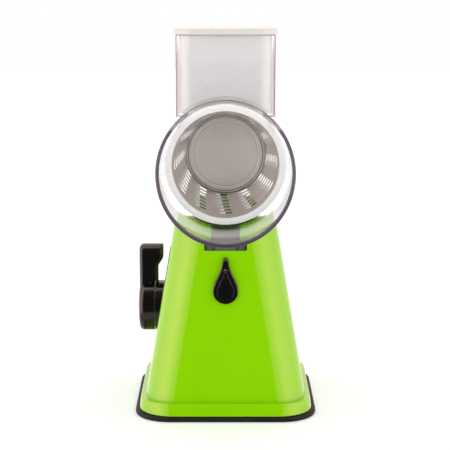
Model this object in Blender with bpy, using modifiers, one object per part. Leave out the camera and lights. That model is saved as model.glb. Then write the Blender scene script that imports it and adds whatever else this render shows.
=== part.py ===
"""Hand-cranked vegetable grater: a clear barrel and hopper on a tapered stand with a suction pad.

Metres, +Z up. The origin is the centre of the suction pad's underside. The barrel's mouth faces -Y, the
suction lever is on -X and the crank is at the back, on +Y.
"""

import math

import bmesh
import bpy
from mathutils import Matrix, Vector

# Clearances: between pieces that rest on each other, and between pieces that run or slide
SEAT_GAP = 0.0003
RUN_GAP = 0.00035

# Suction pad
PAD_WIDTH = 0.1368
PAD_DEPTH = 0.1340
PAD_CORNER = 0.027
PAD_THICKNESS = 0.0040
PAD_EDGE = 0.0012
PAD_BOSS_RADIUS = 0.018
PAD_BOSS_HEIGHT = 0.0048

# Base tray under the stand
TRAY_WIDTH = 0.1307
TRAY_DEPTH = 0.1322
TRAY_CORNER = 0.017
TRAY_HEIGHT = 0.0095
TRAY_DRAFT = 0.0013
TRAY_FLOOR = 0.0040
TRAY_WALL = 0.0095
TRAY_OPENING_RADIUS = 0.022

# Tapered stand
STAND_LEDGE = 0.0027
STAND_WALL = 0.0026
STAND_CORNER = 0.024
STAND_TOP_HEIGHT = 0.158
STAND_TOP_WIDTH = 0.0724
STAND_TOP_DEPTH = 0.0786
STAND_CAVITY_TOP = 0.1255
SCREW_POST_RADIUS = 0.0046
SCREW_POST_HEIGHT = 0.045
SCREW_INSET_X = 0.01535
SCREW_INSET_FRONT = 0.0191
SCREW_INSET_REAR = 0.0221

# Screws: the four that hold the tray, and the small ones of the guide and the bracket
BASE_SCREW_RADIUS = 0.0016
BASE_SCREW_HEAD = 0.0034
BASE_SCREW_LENGTH = 0.0150
SMALL_SCREW_RADIUS = 0.0012
SMALL_SCREW_HEAD = 0.0026
SMALL_SCREW_LENGTH = 0.0060
SCREW_HEAD_HEIGHT = 0.0018

# Barrel, its rail and its hopper
AXIS_HEIGHT = 0.194
BARREL_RADIUS = 0.0482
BARREL_WALL = 0.0026
BARREL_REAR = 0.0120
MOUTH_TOP_Y = -0.0953
MOUTH_LIP_Y = -0.1371
RAIL_FOOT_HEIGHT = 0.1296
RAIL_FOOT_THICKNESS = 0.0049
RAIL_FOOT_WIDTH = 0.0306
RAIL_NECK_WIDTH = 0.0212
RAIL_REAR = 0.0055
HOPPER_WIDTH = 0.0725
HOPPER_DEPTH = 0.0580
HOPPER_FRONT = -0.0598
HOPPER_CORNER = 0.012
HOPPER_WALL = 0.0023
HOPPER_TOP = 0.2852
SLEEVE_RADIUS = 0.0140
SLEEVE_LENGTH = 0.0085

# Pusher
PUSHER_CLEARANCE = 0.0005
PUSHER_WALL = 0.0022
PUSHER_FACE_RADIUS = 0.0425
PUSHER_SHOULDER = 0.020
CAP_OVERHANG = 0.0017
CAP_THICKNESS = 0.0045
CAP_PLUG_DEPTH = 0.0060
CAP_EDGE = 0.0014

# Grating drum
DRUM_FRONT = -0.0730
DRUM_REAR = -0.0089
DRUM_FRONT_RADIUS = 0.0384
DRUM_REAR_RADIUS = 0.0299
DRUM_SHEET = 0.0008
DRUM_COLUMNS = 12
DRUM_ROWS = 7
TOOTH_PITCH = 0.0076
FIRST_TOOTH = 0.0123
TOOTH_LENGTH = 0.0052
TOOTH_WIDTH = 0.0042
TOOTH_RISE = 0.0013
SLOT_LENGTH = 0.0046
SLOT_WIDTH = 0.0030
COLUMN_SKEW_DEGREES = 1.2
RING_RADIUS = 0.04335
RING_DEPTH = 0.0086
RING_LIP = 0.0012
RING_EDGE = 0.0006
SEAM_RADIUS = 0.0312
SEAM_WIDTH = 0.0012
DISC_SHEET = 0.0008
DISC_GROOVE_RADIUS = 0.0249
DISC_GROOVE_WIDTH = 0.0024
HUB_RADIUS = 0.0150
HUB_FLANGE_RADIUS = 0.0225
HUB_FLANGE = 0.0030

# Crank
SQUARE_DRIVE = 0.0090
SQUARE_DRIVE_DEPTH = 0.0120
JOURNAL_RADIUS = 0.0080
BUSH_WALL = 0.0024
BUSH_FLANGE = 0.0022
CRANK_HUB_RADIUS = 0.0150
CRANK_HUB_LENGTH = 0.0130
CRANK_SEAT_DEPTH = 0.0070
CRANK_WEB = 0.0012
CRANK_LENGTH = 0.084
CRANK_OFFSET = 0.0179
CRANK_ARM_THICKNESS = 0.0070
CRANK_ARM_WIDTH = 0.0220
CRANK_TIP_WIDTH = 0.0180
CRANK_SCREW_RADIUS = 0.0020
CRANK_SCREW_HEAD = 0.0038
CRANK_SCREW_DEPTH = 0.0070
CRANK_CAP_RADIUS = 0.0095
CRANK_CAP_DEPTH = 0.0014
KNOB_LENGTH = 0.046
KNOB_RADIUS = 0.0135
KNOB_NECK_RADIUS = 0.0105
KNOB_RECESS_RADIUS = 0.0064
KNOB_RECESS_DEPTH = 0.0040
KNOB_PIN_RADIUS = 0.0035
KNOB_PIN_HEAD = 0.0056

# Release button and its latch
BUTTON_BOTTOM = 0.0899
BUTTON_TOP = 0.1244
BUTTON_WIDTH = 0.0185
BUTTON_TIP_RADIUS = 0.0018
BUTTON_THICKNESS = 0.0032
BUTTON_STEM_WIDTH = 0.0060
BUTTON_STEM_BOTTOM = 0.0990
BUTTON_STEM_TOP = 0.1130
RIB_COUNT = 5
RIB_PITCH = 0.0023
RIB_WIDTH = 0.0104
RIB_HEIGHT = 0.0006
RIB_THICKNESS = 0.0010
LATCH_TRAVEL = 0.0050
LATCH_WIDTH = 0.0180
LATCH_THICKNESS = 0.0070
LATCH_BOTTOM = 0.0920
LATCH_SHOULDER = 0.1220
LATCH_PLAY = 0.0004
TONGUE_WIDTH = 0.0120
TONGUE_THICKNESS = 0.0040
TONGUE_BITE = 0.0034
BRACKET_WALL = 0.0018
BRACKET_BOTTOM = 0.0700
BRACKET_SHELF = 0.0024
BRACKET_EAR = 0.0070
BRACKET_SCREW_X = 0.0148
BRACKET_POST_RADIUS = 0.0032
SPRING_WIRE = 0.0008
SPRING_RADIUS = 0.0026
SPRING_CURLS = 8

# Suction lever, shaft and cam
LEVER_AXIS_HEIGHT = 0.0744
LEVER_FACE_X = -0.0674
LEVER_HUB_RADIUS = 0.0197
LEVER_HUB_THICKNESS = 0.0128
LEVER_ARM_LENGTH = 0.0485
LEVER_ARM_ROOT_WIDTH = 0.0140
LEVER_ARM_TIP_WIDTH = 0.0180
LEVER_ARM_INSET = 0.0010
LEVER_ARM_THICKNESS = 0.0138
THUMB_BULGE = 0.0040
THUMB_BULGE_LENGTH = 0.0092
THUMB_BULGE_RISE = 0.0064
LEVER_SWING_DEGREES = 90.0
LEVER_SQUARE = 0.0062
LEVER_SOCKET_DEPTH = 0.0082
LEVER_WEB = 0.0016
LEVER_SCREW_RADIUS = 0.0015
LEVER_SCREW_HEAD = 0.0038
LEVER_SCREW_LENGTH = 0.0146
CAM_SHAFT_RADIUS = 0.0045
FAR_JOURNAL_RADIUS = 0.0030
CAM_SHAFT_END = 0.0440
CAM_BASE_RADIUS = 0.0090
CAM_LIFT = 0.0035
CAM_WIDTH = 0.0100
CLIP_THICKNESS = 0.0008
CLIP_GROOVE_DEPTH = 0.0010
CLIP_RISE = 0.0022
LEVER_BOSS_RADIUS = 0.0172
LEVER_BOSS_DEPTH = 0.0125
FAR_BOSS_RADIUS = 0.0110
SHAFT_BUSH_WALL = 0.0032
FAR_BUSH_LENGTH = 0.0090

# Suction post and its guide
POST_RADIUS = 0.0045
POST_FOOT_RADIUS = 0.0120
POST_FOOT_THICKNESS = 0.0020
YOKE_WIDTH = 0.0190
YOKE_DEPTH = 0.0160
YOKE_BOTTOM = 0.0480
YOKE_CROWN = 0.0030
LIFT_PIN_RADIUS = 0.0022
GUIDE_FLANGE_RADIUS = 0.0320
GUIDE_HEIGHT = 0.0260
GUIDE_WALL = 0.0030
GUIDE_SCREW_CIRCLE = 0.0275
GUIDE_SCREW_COUNT = 3

# Facets of round pieces, and how far a cutter runs past what it cuts
BARREL_STEPS = 64
ROUND_STEPS = 36
MEDIUM_STEPS = 24
SMALL_STEPS = 12
HOLE_STEPS = 8
CORNER_STEPS = 5
CUT_PAST = 0.004

# Places that follow from the sizes above
TRAY_BOTTOM = PAD_THICKNESS + SEAT_GAP
TRAY_TOP = TRAY_BOTTOM + TRAY_HEIGHT
FLOOR_TOP = TRAY_BOTTOM + TRAY_FLOOR
STAND_BOTTOM = TRAY_TOP + SEAT_GAP
STAND_BOTTOM_WIDTH = TRAY_WIDTH - 2 * (TRAY_DRAFT + STAND_LEDGE)
STAND_BOTTOM_DEPTH = TRAY_DEPTH - 2 * (TRAY_DRAFT + STAND_LEDGE)
STAND_FRONT = -STAND_BOTTOM_DEPTH / 2
SCREW_POST_X = TRAY_WIDTH / 2 - SCREW_INSET_X
SCREW_POST_FRONT = TRAY_DEPTH / 2 - SCREW_INSET_FRONT
SCREW_POST_REAR = TRAY_DEPTH / 2 - SCREW_INSET_REAR
STAND_TOP_REAR = STAND_FRONT + STAND_TOP_DEPTH
CRADLE_RADIUS = BARREL_RADIUS + SEAT_GAP
BARREL_BORE = BARREL_RADIUS - BARREL_WALL
REAR_WALL_FRONT = BARREL_REAR - BARREL_WALL
RAIL_FOOT_TOP = RAIL_FOOT_HEIGHT + RAIL_FOOT_THICKNESS
HOPPER_REAR = HOPPER_FRONT + HOPPER_DEPTH
SLEEVE_END = BARREL_REAR + SLEEVE_LENGTH
CAP_BOTTOM = HOPPER_TOP + SEAT_GAP
BUSH_BORE = JOURNAL_RADIUS + RUN_GAP
BUSH_RADIUS = BUSH_BORE + BUSH_WALL
BUSH_END = SLEEVE_END + SEAT_GAP + BUSH_FLANGE
DISC_FRONT = DRUM_REAR - DRUM_SHEET / 2
DISC_REAR = DISC_FRONT + DISC_SHEET
HUB_FRONT = DISC_REAR + SEAT_GAP
HUB_FLANGE_REAR = HUB_FRONT + HUB_FLANGE
HUB_REAR = REAR_WALL_FRONT - 2 * RUN_GAP
SOCKET_HALF = SQUARE_DRIVE / 2 + SEAT_GAP
CRANK_HUB_FRONT = BUSH_END + 2 * RUN_GAP
CRANK_HUB_REAR = CRANK_HUB_FRONT + CRANK_HUB_LENGTH
CRANK_SEAT = CRANK_HUB_FRONT + CRANK_SEAT_DEPTH
CRANK_HEAD_SEAT = CRANK_SEAT + SEAT_GAP + CRANK_WEB
CRANK_CAP_SEAT = CRANK_HUB_REAR - CRANK_CAP_DEPTH
CRANK_TIP_Y = CRANK_HUB_FRONT + CRANK_OFFSET
KNOB_AXIS_HEIGHT = AXIS_HEIGHT - CRANK_LENGTH
KNOB_FRONT = CRANK_TIP_Y + CRANK_ARM_THICKNESS + 2 * RUN_GAP
KNOB_REAR = KNOB_FRONT + KNOB_LENGTH
LEVER_INNER_X = LEVER_FACE_X + LEVER_HUB_THICKNESS
BOSS_FACE_X = LEVER_INNER_X + SEAT_GAP
BOSS_END_X = BOSS_FACE_X + LEVER_BOSS_DEPTH
LEVER_SHAFT_START = LEVER_INNER_X - LEVER_SOCKET_DEPTH + SEAT_GAP
LEVER_HEAD_SEAT = LEVER_INNER_X - LEVER_SOCKET_DEPTH - LEVER_WEB
LEVER_BUSH_RADIUS = CAM_SHAFT_RADIUS + RUN_GAP + SHAFT_BUSH_WALL
FAR_BUSH_RADIUS = FAR_JOURNAL_RADIUS + RUN_GAP + SHAFT_BUSH_WALL
FAR_BUSH_START = CAM_SHAFT_END - FAR_BUSH_LENGTH + SEAT_GAP
LIFT_PIN_HEIGHT = LEVER_AXIS_HEIGHT + CAM_BASE_RADIUS + RUN_GAP + LIFT_PIN_RADIUS
YOKE_TOP = LIFT_PIN_HEIGHT + LIFT_PIN_RADIUS + YOKE_CROWN
POST_FOOT_BOTTOM = PAD_THICKNESS + (PAD_BOSS_HEIGHT - POST_FOOT_THICKNESS) / 2
POST_FOOT_TOP = POST_FOOT_BOTTOM + POST_FOOT_THICKNESS
GUIDE_BOTTOM = FLOOR_TOP + SEAT_GAP
GUIDE_FLANGE_TOP = GUIDE_BOTTOM + GUIDE_WALL
GUIDE_DOME = PAD_THICKNESS + PAD_BOSS_HEIGHT + CAM_LIFT + 2 * RUN_GAP
LATCH_FRONT = STAND_FRONT + STAND_WALL + LATCH_PLAY
LATCH_BACK = LATCH_FRONT + LATCH_THICKNESS
TONGUE_BACK = LATCH_FRONT + TONGUE_THICKNESS
TONGUE_TOP = RAIL_FOOT_HEIGHT + TONGUE_BITE
BRACKET_BACK = LATCH_BACK + RUN_GAP + BRACKET_WALL
BRACKET_SCREW_HEIGHT = (BRACKET_BOTTOM + LATCH_SHOULDER) / 2
BUTTON_BACK = STAND_FRONT - SEAT_GAP


def reset_scene():
    """Removes every object, so that the model starts from nothing."""
    for old in list(bpy.data.objects):
        bpy.data.objects.remove(old, do_unlink=True)


def new_collection(name):
    """A collection linked to the scene."""
    made = bpy.data.collections.new(name)
    bpy.context.scene.collection.children.link(made)
    return made


reset_scene()
PARTS = new_collection("vegetable_grater")
CUTTERS = new_collection("cutters")


def finish(name, colour, roughness, metallic=0.0, alpha=1.0):
    """A Principled material."""
    made = bpy.data.materials.new(name)
    made.use_nodes = True
    shader = made.node_tree.nodes["Principled BSDF"]
    shader.inputs["Base Color"].default_value = (*colour, 1.0)
    shader.inputs["Roughness"].default_value = roughness
    shader.inputs["Metallic"].default_value = metallic
    shader.inputs["Alpha"].default_value = alpha
    made.diffuse_color = (*colour, alpha)
    return made


GREEN = finish("green_plastic", (0.27, 0.66, 0.0), 0.25)
BLACK = finish("black_plastic", (0.012, 0.012, 0.013), 0.35)
WHITE = finish("white_plastic", (0.82, 0.79, 0.77), 0.35)
CLEAR = finish("clear_plastic", (0.90, 0.89, 0.92), 0.05, alpha=0.3)
RUBBER = finish("black_rubber", (0.02, 0.017, 0.016), 0.7)
SHEET_STEEL = finish("sheet_steel", (0.46, 0.43, 0.41), 0.3, metallic=1.0)
STEEL = finish("turned_steel", (0.5, 0.5, 0.5), 0.25, metallic=1.0)

# Turns that take local Z to a world axis
TURN = {
    "X": Matrix.Rotation(math.radians(90), 4, "Y"),
    "Y": Matrix.Rotation(math.radians(-90), 4, "X"),
    "Z": Matrix.Identity(4),
}

# Turns that stand a flat outline up: its two directions become Y and Z, X and Z, or X and Y
STAND_UP = {
    "X": Matrix(((0, 0, 1, 0), (1, 0, 0, 0), (0, 1, 0, 0), (0, 0, 0, 1))),
    "Y": Matrix.Rotation(math.radians(90), 4, "X"),
    "Z": Matrix.Identity(4),
}

AXIS_PLACE = Vector((0, 0, AXIS_HEIGHT))
LEVER_PLACE = Vector((0, 0, LEVER_AXIS_HEIGHT))
KNOB_PLACE = Vector((0, 0, KNOB_AXIS_HEIGHT))


def add_object(name, data, material):
    """An object among the parts, or, where it has no material, a wire cutter."""
    made = bpy.data.objects.new(name, data)
    if material is None:
        CUTTERS.objects.link(made)
        made.hide_render = True
        made.display_type = "WIRE"
    else:
        PARTS.objects.link(made)
        data.materials.append(material)
    return made


def add_mesh(name, shape, material):
    """An object made from a bmesh."""
    mesh = bpy.data.meshes.new(name)
    bmesh.ops.recalc_face_normals(shape, faces=shape.faces)
    shape.to_mesh(mesh)
    shape.free()
    return add_object(name, mesh, material)


def empty_at(name, place, parent=None):
    """An empty on a joint's axis, which the pieces that move about it are parented to."""
    made = bpy.data.objects.new(name, None)
    made.empty_display_size = 0.02
    made.location = place
    PARTS.objects.link(made)
    if parent is not None:
        hang([made], parent)
    return made


def hang(pieces, holder):
    """Parents pieces to an empty and keeps them where they are."""
    bpy.context.view_layer.update()
    for piece in pieces:
        piece.parent = holder
        piece.matrix_parent_inverse = holder.matrix_world.inverted()


def smooth(piece, degrees=35.0):
    """Smooth shading with the edges sharper than this angle kept."""
    piece.data.shade_smooth()
    piece.data.set_sharp_from_angle(angle=math.radians(degrees))


def combine(piece, other, operation):
    """Adds, cuts or intersects another shape."""
    step = piece.modifiers.new(operation.lower(), "BOOLEAN")
    step.operation = operation
    step.solver = "EXACT"
    step.object = other


def cut(piece, *cutters):
    """Takes the cutters out of the piece."""
    for cutter in cutters:
        combine(piece, cutter, "DIFFERENCE")


def join(piece, *others):
    """Adds the other shapes to the piece."""
    for other in others:
        combine(piece, other, "UNION")


def keep_inside(piece, other):
    """Keeps what the piece shares with the other shape."""
    combine(piece, other, "INTERSECT")


def round_edges(piece, width, segments=2, degrees=40.0):
    """Rounds the edges that are sharper than this angle."""
    step = piece.modifiers.new("round", "BEVEL")
    step.width = width
    step.segments = segments
    step.limit_method = "ANGLE"
    step.angle_limit = math.radians(degrees)


def box(name, low, high, material=None):
    """A box between two corners."""
    low, high = Vector(low), Vector(high)
    shape = bmesh.new()
    bmesh.ops.create_cube(shape, size=1.0)
    bmesh.ops.scale(shape, vec=high - low, verts=shape.verts)
    bmesh.ops.translate(shape, vec=(low + high) / 2, verts=shape.verts)
    return add_mesh(name, shape, material)


def rod(name, radius, start, end, place=(0, 0, 0), axis="Z", steps=SMALL_STEPS, material=None):
    """A cylinder along an axis: start and end are measured along it from place."""
    shape = bmesh.new()
    bmesh.ops.create_cone(
        shape, cap_ends=True, segments=steps, radius1=radius, radius2=radius, depth=end - start
    )
    bmesh.ops.translate(shape, vec=(0, 0, (start + end) / 2), verts=shape.verts)
    bmesh.ops.transform(shape, matrix=TURN[axis], verts=shape.verts)
    bmesh.ops.translate(shape, vec=place, verts=shape.verts)
    return add_mesh(name, shape, material)


def turned(name, profile, place=(0, 0, 0), axis="Z", steps=ROUND_STEPS, material=None, closed=False):
    """A turned piece. The profile's (radius, height) points run down its outer side, top to bottom."""
    shape = bmesh.new()
    points = [shape.verts.new((radius, 0, height)) for radius, height in profile]
    pairs = list(zip(points, points[1:]))
    if closed:
        pairs.append((points[-1], points[0]))
    for pair in pairs:
        shape.edges.new(pair)
    mesh = bpy.data.meshes.new(name)
    shape.to_mesh(mesh)
    shape.free()
    made = add_object(name, mesh, material)
    spin = made.modifiers.new("turn", "SCREW")
    spin.axis = "Z"
    spin.steps = steps
    spin.render_steps = steps
    spin.use_merge_vertices = True
    spin.merge_threshold = 0.00001
    spin.use_smooth_shade = True
    made.matrix_world = Matrix.Translation(place) @ TURN[axis]
    return made


def copies(first, places):
    """More objects that share the first one's mesh and modifiers, named after it and numbered."""
    stem = first.name
    first.name = f"{stem}_1"
    made = [first]
    for number, place in enumerate(places[1:], 2):
        other = first.copy()
        other.name = f"{stem}_{number}"
        other.location = place
        PARTS.objects.link(other)
        made.append(other)
    first.location = places[0]
    return made


def slab(name, outline, start, end, axis="Z", material=None):
    """A flat outline carried along an axis: (X, Y) points for Z, (X, Z) for Y and (Y, Z) for X."""
    line = bpy.data.curves.new(name, "CURVE")
    line.dimensions = "2D"
    line.fill_mode = "BOTH"
    line.extrude = (end - start) / 2
    spline = line.splines.new("POLY")
    spline.points.add(len(outline) - 1)
    for point, (u, v) in zip(spline.points, outline):
        point.co = (u, v, 0, 1)
    spline.use_cyclic_u = True
    flat = bpy.data.objects.new(name, line)
    middle = (start + end) / 2
    shift = {"X": (middle, 0, 0), "Y": (0, middle, 0), "Z": (0, 0, middle)}[axis]
    flat.matrix_world = Matrix.Translation(shift) @ STAND_UP[axis]
    CUTTERS.objects.link(flat)
    bpy.context.view_layer.update()
    mesh = bpy.data.meshes.new_from_object(
        flat.evaluated_get(bpy.context.evaluated_depsgraph_get())
    )
    shape = bmesh.new()
    shape.from_mesh(mesh)
    bmesh.ops.transform(shape, matrix=flat.matrix_world, verts=shape.verts)
    bmesh.ops.remove_doubles(shape, verts=shape.verts, dist=0.000001)
    bpy.data.objects.remove(flat, do_unlink=True)
    return add_mesh(name, shape, material)


def arc(centre_u, centre_v, radius, first, last, steps):
    """Points on a circle between two angles in degrees."""
    turns = [math.radians(first + (last - first) * i / steps) for i in range(steps + 1)]
    return [(centre_u + radius * math.cos(a), centre_v + radius * math.sin(a)) for a in turns]


def rounded(half_x, low_y, high_y, corner):
    """A rounded rectangle seen from above, as points anticlockwise from its right side."""
    return (
        arc(half_x - corner, high_y - corner, corner, 0, 90, CORNER_STEPS)
        + arc(corner - half_x, high_y - corner, corner, 90, 180, CORNER_STEPS)
        + arc(corner - half_x, low_y + corner, corner, 180, 270, CORNER_STEPS)
        + arc(half_x - corner, low_y + corner, corner, 270, 360, CORNER_STEPS)
    )


def capsule(root, root_radius, tip, tip_radius, steps=8):
    """The outline round one circle and a second one straight above or below it."""
    way = 1 if tip > root else -1
    lean = math.degrees(math.asin((root_radius - tip_radius) / abs(tip - root)))
    upper = arc(0, 0, tip_radius, lean, 180 - lean, steps)
    lower = arc(0, 0, root_radius, 180 - lean, 360 + lean, 2 * steps)
    return [(u, tip + way * v) for u, v in upper] + [(u, root + way * v) for u, v in lower]


def loft(name, sections, material=None):
    """A closed body through outlines of equally many points, each at its own height."""
    shape = bmesh.new()
    rows = [[shape.verts.new((x, y, height)) for x, y in outline] for outline, height in sections]
    count = len(rows[0])
    for lower, upper in zip(rows, rows[1:]):
        for i in range(count):
            j = (i + 1) % count
            shape.faces.new((lower[i], lower[j], upper[j], upper[i]))
    shape.faces.new(list(reversed(rows[0])))
    shape.faces.new(rows[-1])
    return add_mesh(name, shape, material)


def stand_half_width(height):
    """Half the stand's width at a height."""
    share = (height - STAND_BOTTOM) / (STAND_TOP_HEIGHT - STAND_BOTTOM)
    return (STAND_BOTTOM_WIDTH * (1 - share) + STAND_TOP_WIDTH * share) / 2


def stand_section(height, inset=0.0):
    """The stand's outline at a height: its sides and back lean in evenly and its front is upright."""
    share = (height - STAND_BOTTOM) / (STAND_TOP_HEIGHT - STAND_BOTTOM)
    rear = -STAND_FRONT * (1 - share) + STAND_TOP_REAR * share
    outline = rounded(
        stand_half_width(height) - inset, STAND_FRONT + inset, rear - inset, STAND_CORNER - inset
    )
    return outline, height


def base_screw_places():
    """Where the four base screws stand."""
    return [
        (side * SCREW_POST_X, place, TRAY_BOTTOM + SEAT_GAP)
        for side in (-1, 1)
        for place in (-SCREW_POST_FRONT, SCREW_POST_REAR)
    ]


def guide_screw_places():
    """Where the screws of the post's guide stand."""
    turns = [math.radians(90 + 360 * i / GUIDE_SCREW_COUNT) for i in range(GUIDE_SCREW_COUNT)]
    return [
        (GUIDE_SCREW_CIRCLE * math.cos(a), GUIDE_SCREW_CIRCLE * math.sin(a), GUIDE_FLANGE_TOP + SEAT_GAP)
        for a in turns
    ]


def build_pad():
    """The rubber pad: flat underneath, with a boss in its middle that holds the post's foot."""
    half_y = PAD_DEPTH / 2
    pad = slab("suction_pad", rounded(PAD_WIDTH / 2, -half_y, half_y, PAD_CORNER), 0, PAD_THICKNESS,
               material=RUBBER)
    round_edges(pad, PAD_EDGE, degrees=60)
    boss_top = PAD_THICKNESS + PAD_BOSS_HEIGHT
    join(pad, rod("pad_boss", PAD_BOSS_RADIUS, PAD_THICKNESS / 2, boss_top, steps=ROUND_STEPS))
    cut(
        pad,
        rod("foot_pocket", POST_FOOT_RADIUS + SEAT_GAP, POST_FOOT_BOTTOM - SEAT_GAP,
            POST_FOOT_TOP + SEAT_GAP, steps=MEDIUM_STEPS),
        rod("foot_neck", POST_RADIUS + RUN_GAP, POST_FOOT_BOTTOM, boss_top + CUT_PAST),
    )
    smooth(pad)


def build_tray():
    """The green tray that closes the stand from below."""
    half_x, half_y = TRAY_WIDTH / 2, TRAY_DEPTH / 2
    top_x, top_y = half_x - TRAY_DRAFT, half_y - TRAY_DRAFT
    tray = loft("base_tray", [
        (rounded(half_x, -half_y, half_y, TRAY_CORNER), TRAY_BOTTOM),
        (rounded(top_x, -top_y, top_y, TRAY_CORNER), TRAY_TOP),
    ], GREEN)
    room_x, room_y = half_x - TRAY_WALL, half_y - TRAY_WALL
    cut(
        tray,
        slab("tray_room", rounded(room_x, -room_y, room_y, TRAY_CORNER - TRAY_WALL / 2), FLOOR_TOP,
             TRAY_TOP + CUT_PAST),
        rod("tray_opening", TRAY_OPENING_RADIUS, 0, FLOOR_TOP + CUT_PAST, steps=ROUND_STEPS),
    )
    for x, y, seat in base_screw_places():
        cut(
            tray,
            rod("tray_hole", BASE_SCREW_RADIUS + SEAT_GAP, 0, TRAY_TOP, (x, y, 0), steps=HOLE_STEPS),
            rod("tray_head_seat", BASE_SCREW_HEAD + SEAT_GAP, 0,
                seat + SCREW_HEAD_HEIGHT + SEAT_GAP, (x, y, 0)),
        )
    for x, y, seat in guide_screw_places():
        depth = seat - SMALL_SCREW_LENGTH - SEAT_GAP
        cut(tray, rod("guide_hole", SMALL_SCREW_RADIUS + SEAT_GAP, depth, TRAY_TOP, (x, y, 0),
                      steps=HOLE_STEPS))
    smooth(tray)


def build_screws():
    """The base screws, whose heads are underneath, and the guide's screws, whose heads are on top."""
    head, shank = BASE_SCREW_HEAD, BASE_SCREW_RADIUS
    first = turned("base_screw", [
        (0, BASE_SCREW_LENGTH), (shank, BASE_SCREW_LENGTH), (shank, SCREW_HEAD_HEIGHT),
        (head, SCREW_HEAD_HEIGHT), (head, 0), (0, 0),
    ], steps=SMALL_STEPS, material=STEEL)
    copies(first, base_screw_places())
    copies(small_screw("guide_screw"), guide_screw_places())


def small_screw(name, axis="Z"):
    """A small screw whose seat is at its origin and whose shank points down the axis."""
    head, shank = SMALL_SCREW_HEAD, SMALL_SCREW_RADIUS
    return turned(name, [
        (0, SCREW_HEAD_HEIGHT), (head * 0.7, SCREW_HEAD_HEIGHT), (head, SCREW_HEAD_HEIGHT * 0.6), (head, 0),
        (shank, 0), (shank, -SMALL_SCREW_LENGTH), (0, -SMALL_SCREW_LENGTH),
    ], axis=axis, steps=SMALL_STEPS, material=STEEL)


def build_stand():
    """The green stand: a tapered shell whose top is cradled for the barrel and slotted for its rail."""
    stand = loft("stand_body", [stand_section(STAND_BOTTOM), stand_section(STAND_TOP_HEIGHT)], GREEN)
    cut(stand, loft("stand_room", [
        stand_section(STAND_BOTTOM - CUT_PAST, STAND_WALL), stand_section(STAND_CAVITY_TOP, STAND_WALL)
    ]))
    limit = loft("stand_limit", [
        stand_section(STAND_BOTTOM - 2 * CUT_PAST, STAND_WALL / 2),
        stand_section(STAND_TOP_HEIGHT, STAND_WALL / 2),
    ])
    for x, y, _ in base_screw_places():
        post = rod("screw_post", SCREW_POST_RADIUS, FLOOR_TOP + SEAT_GAP, SCREW_POST_HEIGHT, (x, y, 0))
        keep_inside(post, limit)
        join(stand, post)
    far_boss = rod("far_boss", FAR_BOSS_RADIUS, FAR_BUSH_START, STAND_BOTTOM_WIDTH / 2, LEVER_PLACE, "X",
                   MEDIUM_STEPS)
    keep_inside(far_boss, limit)
    join(
        stand, far_boss,
        rod("lever_boss", LEVER_BOSS_RADIUS, BOSS_FACE_X, BOSS_END_X, LEVER_PLACE, "X", ROUND_STEPS),
    )
    for side in (-1, 1):
        join(stand, rod("bracket_post", BRACKET_POST_RADIUS, STAND_FRONT + STAND_WALL / 2,
                        BRACKET_BACK - BRACKET_WALL - SEAT_GAP,
                        (side * BRACKET_SCREW_X, 0, BRACKET_SCREW_HEIGHT), "Y"))
    front = 2 * STAND_FRONT
    foot, neck = RAIL_FOOT_WIDTH / 2 + RUN_GAP, RAIL_NECK_WIDTH / 2 + RUN_GAP
    stem, tongue = BUTTON_STEM_WIDTH / 2 + RUN_GAP, TONGUE_WIDTH / 2 + RUN_GAP
    cut(
        stand,
        rod("cradle", CRADLE_RADIUS, front, BARREL_REAR + SEAT_GAP, AXIS_PLACE, "Y", BARREL_STEPS),
        box("rail_slot", (-foot, front, RAIL_FOOT_HEIGHT - RUN_GAP),
            (foot, RAIL_REAR + RUN_GAP, RAIL_FOOT_TOP + RUN_GAP)),
        box("neck_slot", (-neck, front, RAIL_FOOT_HEIGHT), (neck, RAIL_REAR + RUN_GAP, AXIS_HEIGHT)),
        rod("lever_bush_hole", LEVER_BUSH_RADIUS + SEAT_GAP, front, 0, LEVER_PLACE, "X", MEDIUM_STEPS),
        rod("far_bush_hole", FAR_BUSH_RADIUS + SEAT_GAP, 0, CAM_SHAFT_END + 2 * SEAT_GAP, LEVER_PLACE,
            "X", MEDIUM_STEPS),
        box("stem_slot", (-stem, front, BUTTON_STEM_BOTTOM - LATCH_TRAVEL - RUN_GAP),
            (stem, LATCH_FRONT, BUTTON_STEM_TOP + RUN_GAP)),
        box("tongue_hole", (-tongue, LATCH_FRONT - LATCH_PLAY, STAND_CAVITY_TOP - CUT_PAST),
            (tongue, TONGUE_BACK + RUN_GAP, RAIL_FOOT_HEIGHT)),
    )
    for side in (-1, 1):
        cut(stand, rod("bracket_hole", SMALL_SCREW_RADIUS + SEAT_GAP,
                       BRACKET_BACK - SMALL_SCREW_LENGTH - SEAT_GAP, BRACKET_BACK,
                       (side * BRACKET_SCREW_X, 0, BRACKET_SCREW_HEIGHT), "Y", HOLE_STEPS))
    for x, y, seat in base_screw_places():
        cut(stand, rod("post_hole", BASE_SCREW_RADIUS + SEAT_GAP, 0, seat + BASE_SCREW_LENGTH + SEAT_GAP,
                       (x, y, 0), steps=HOLE_STEPS))
    smooth(stand)


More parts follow.
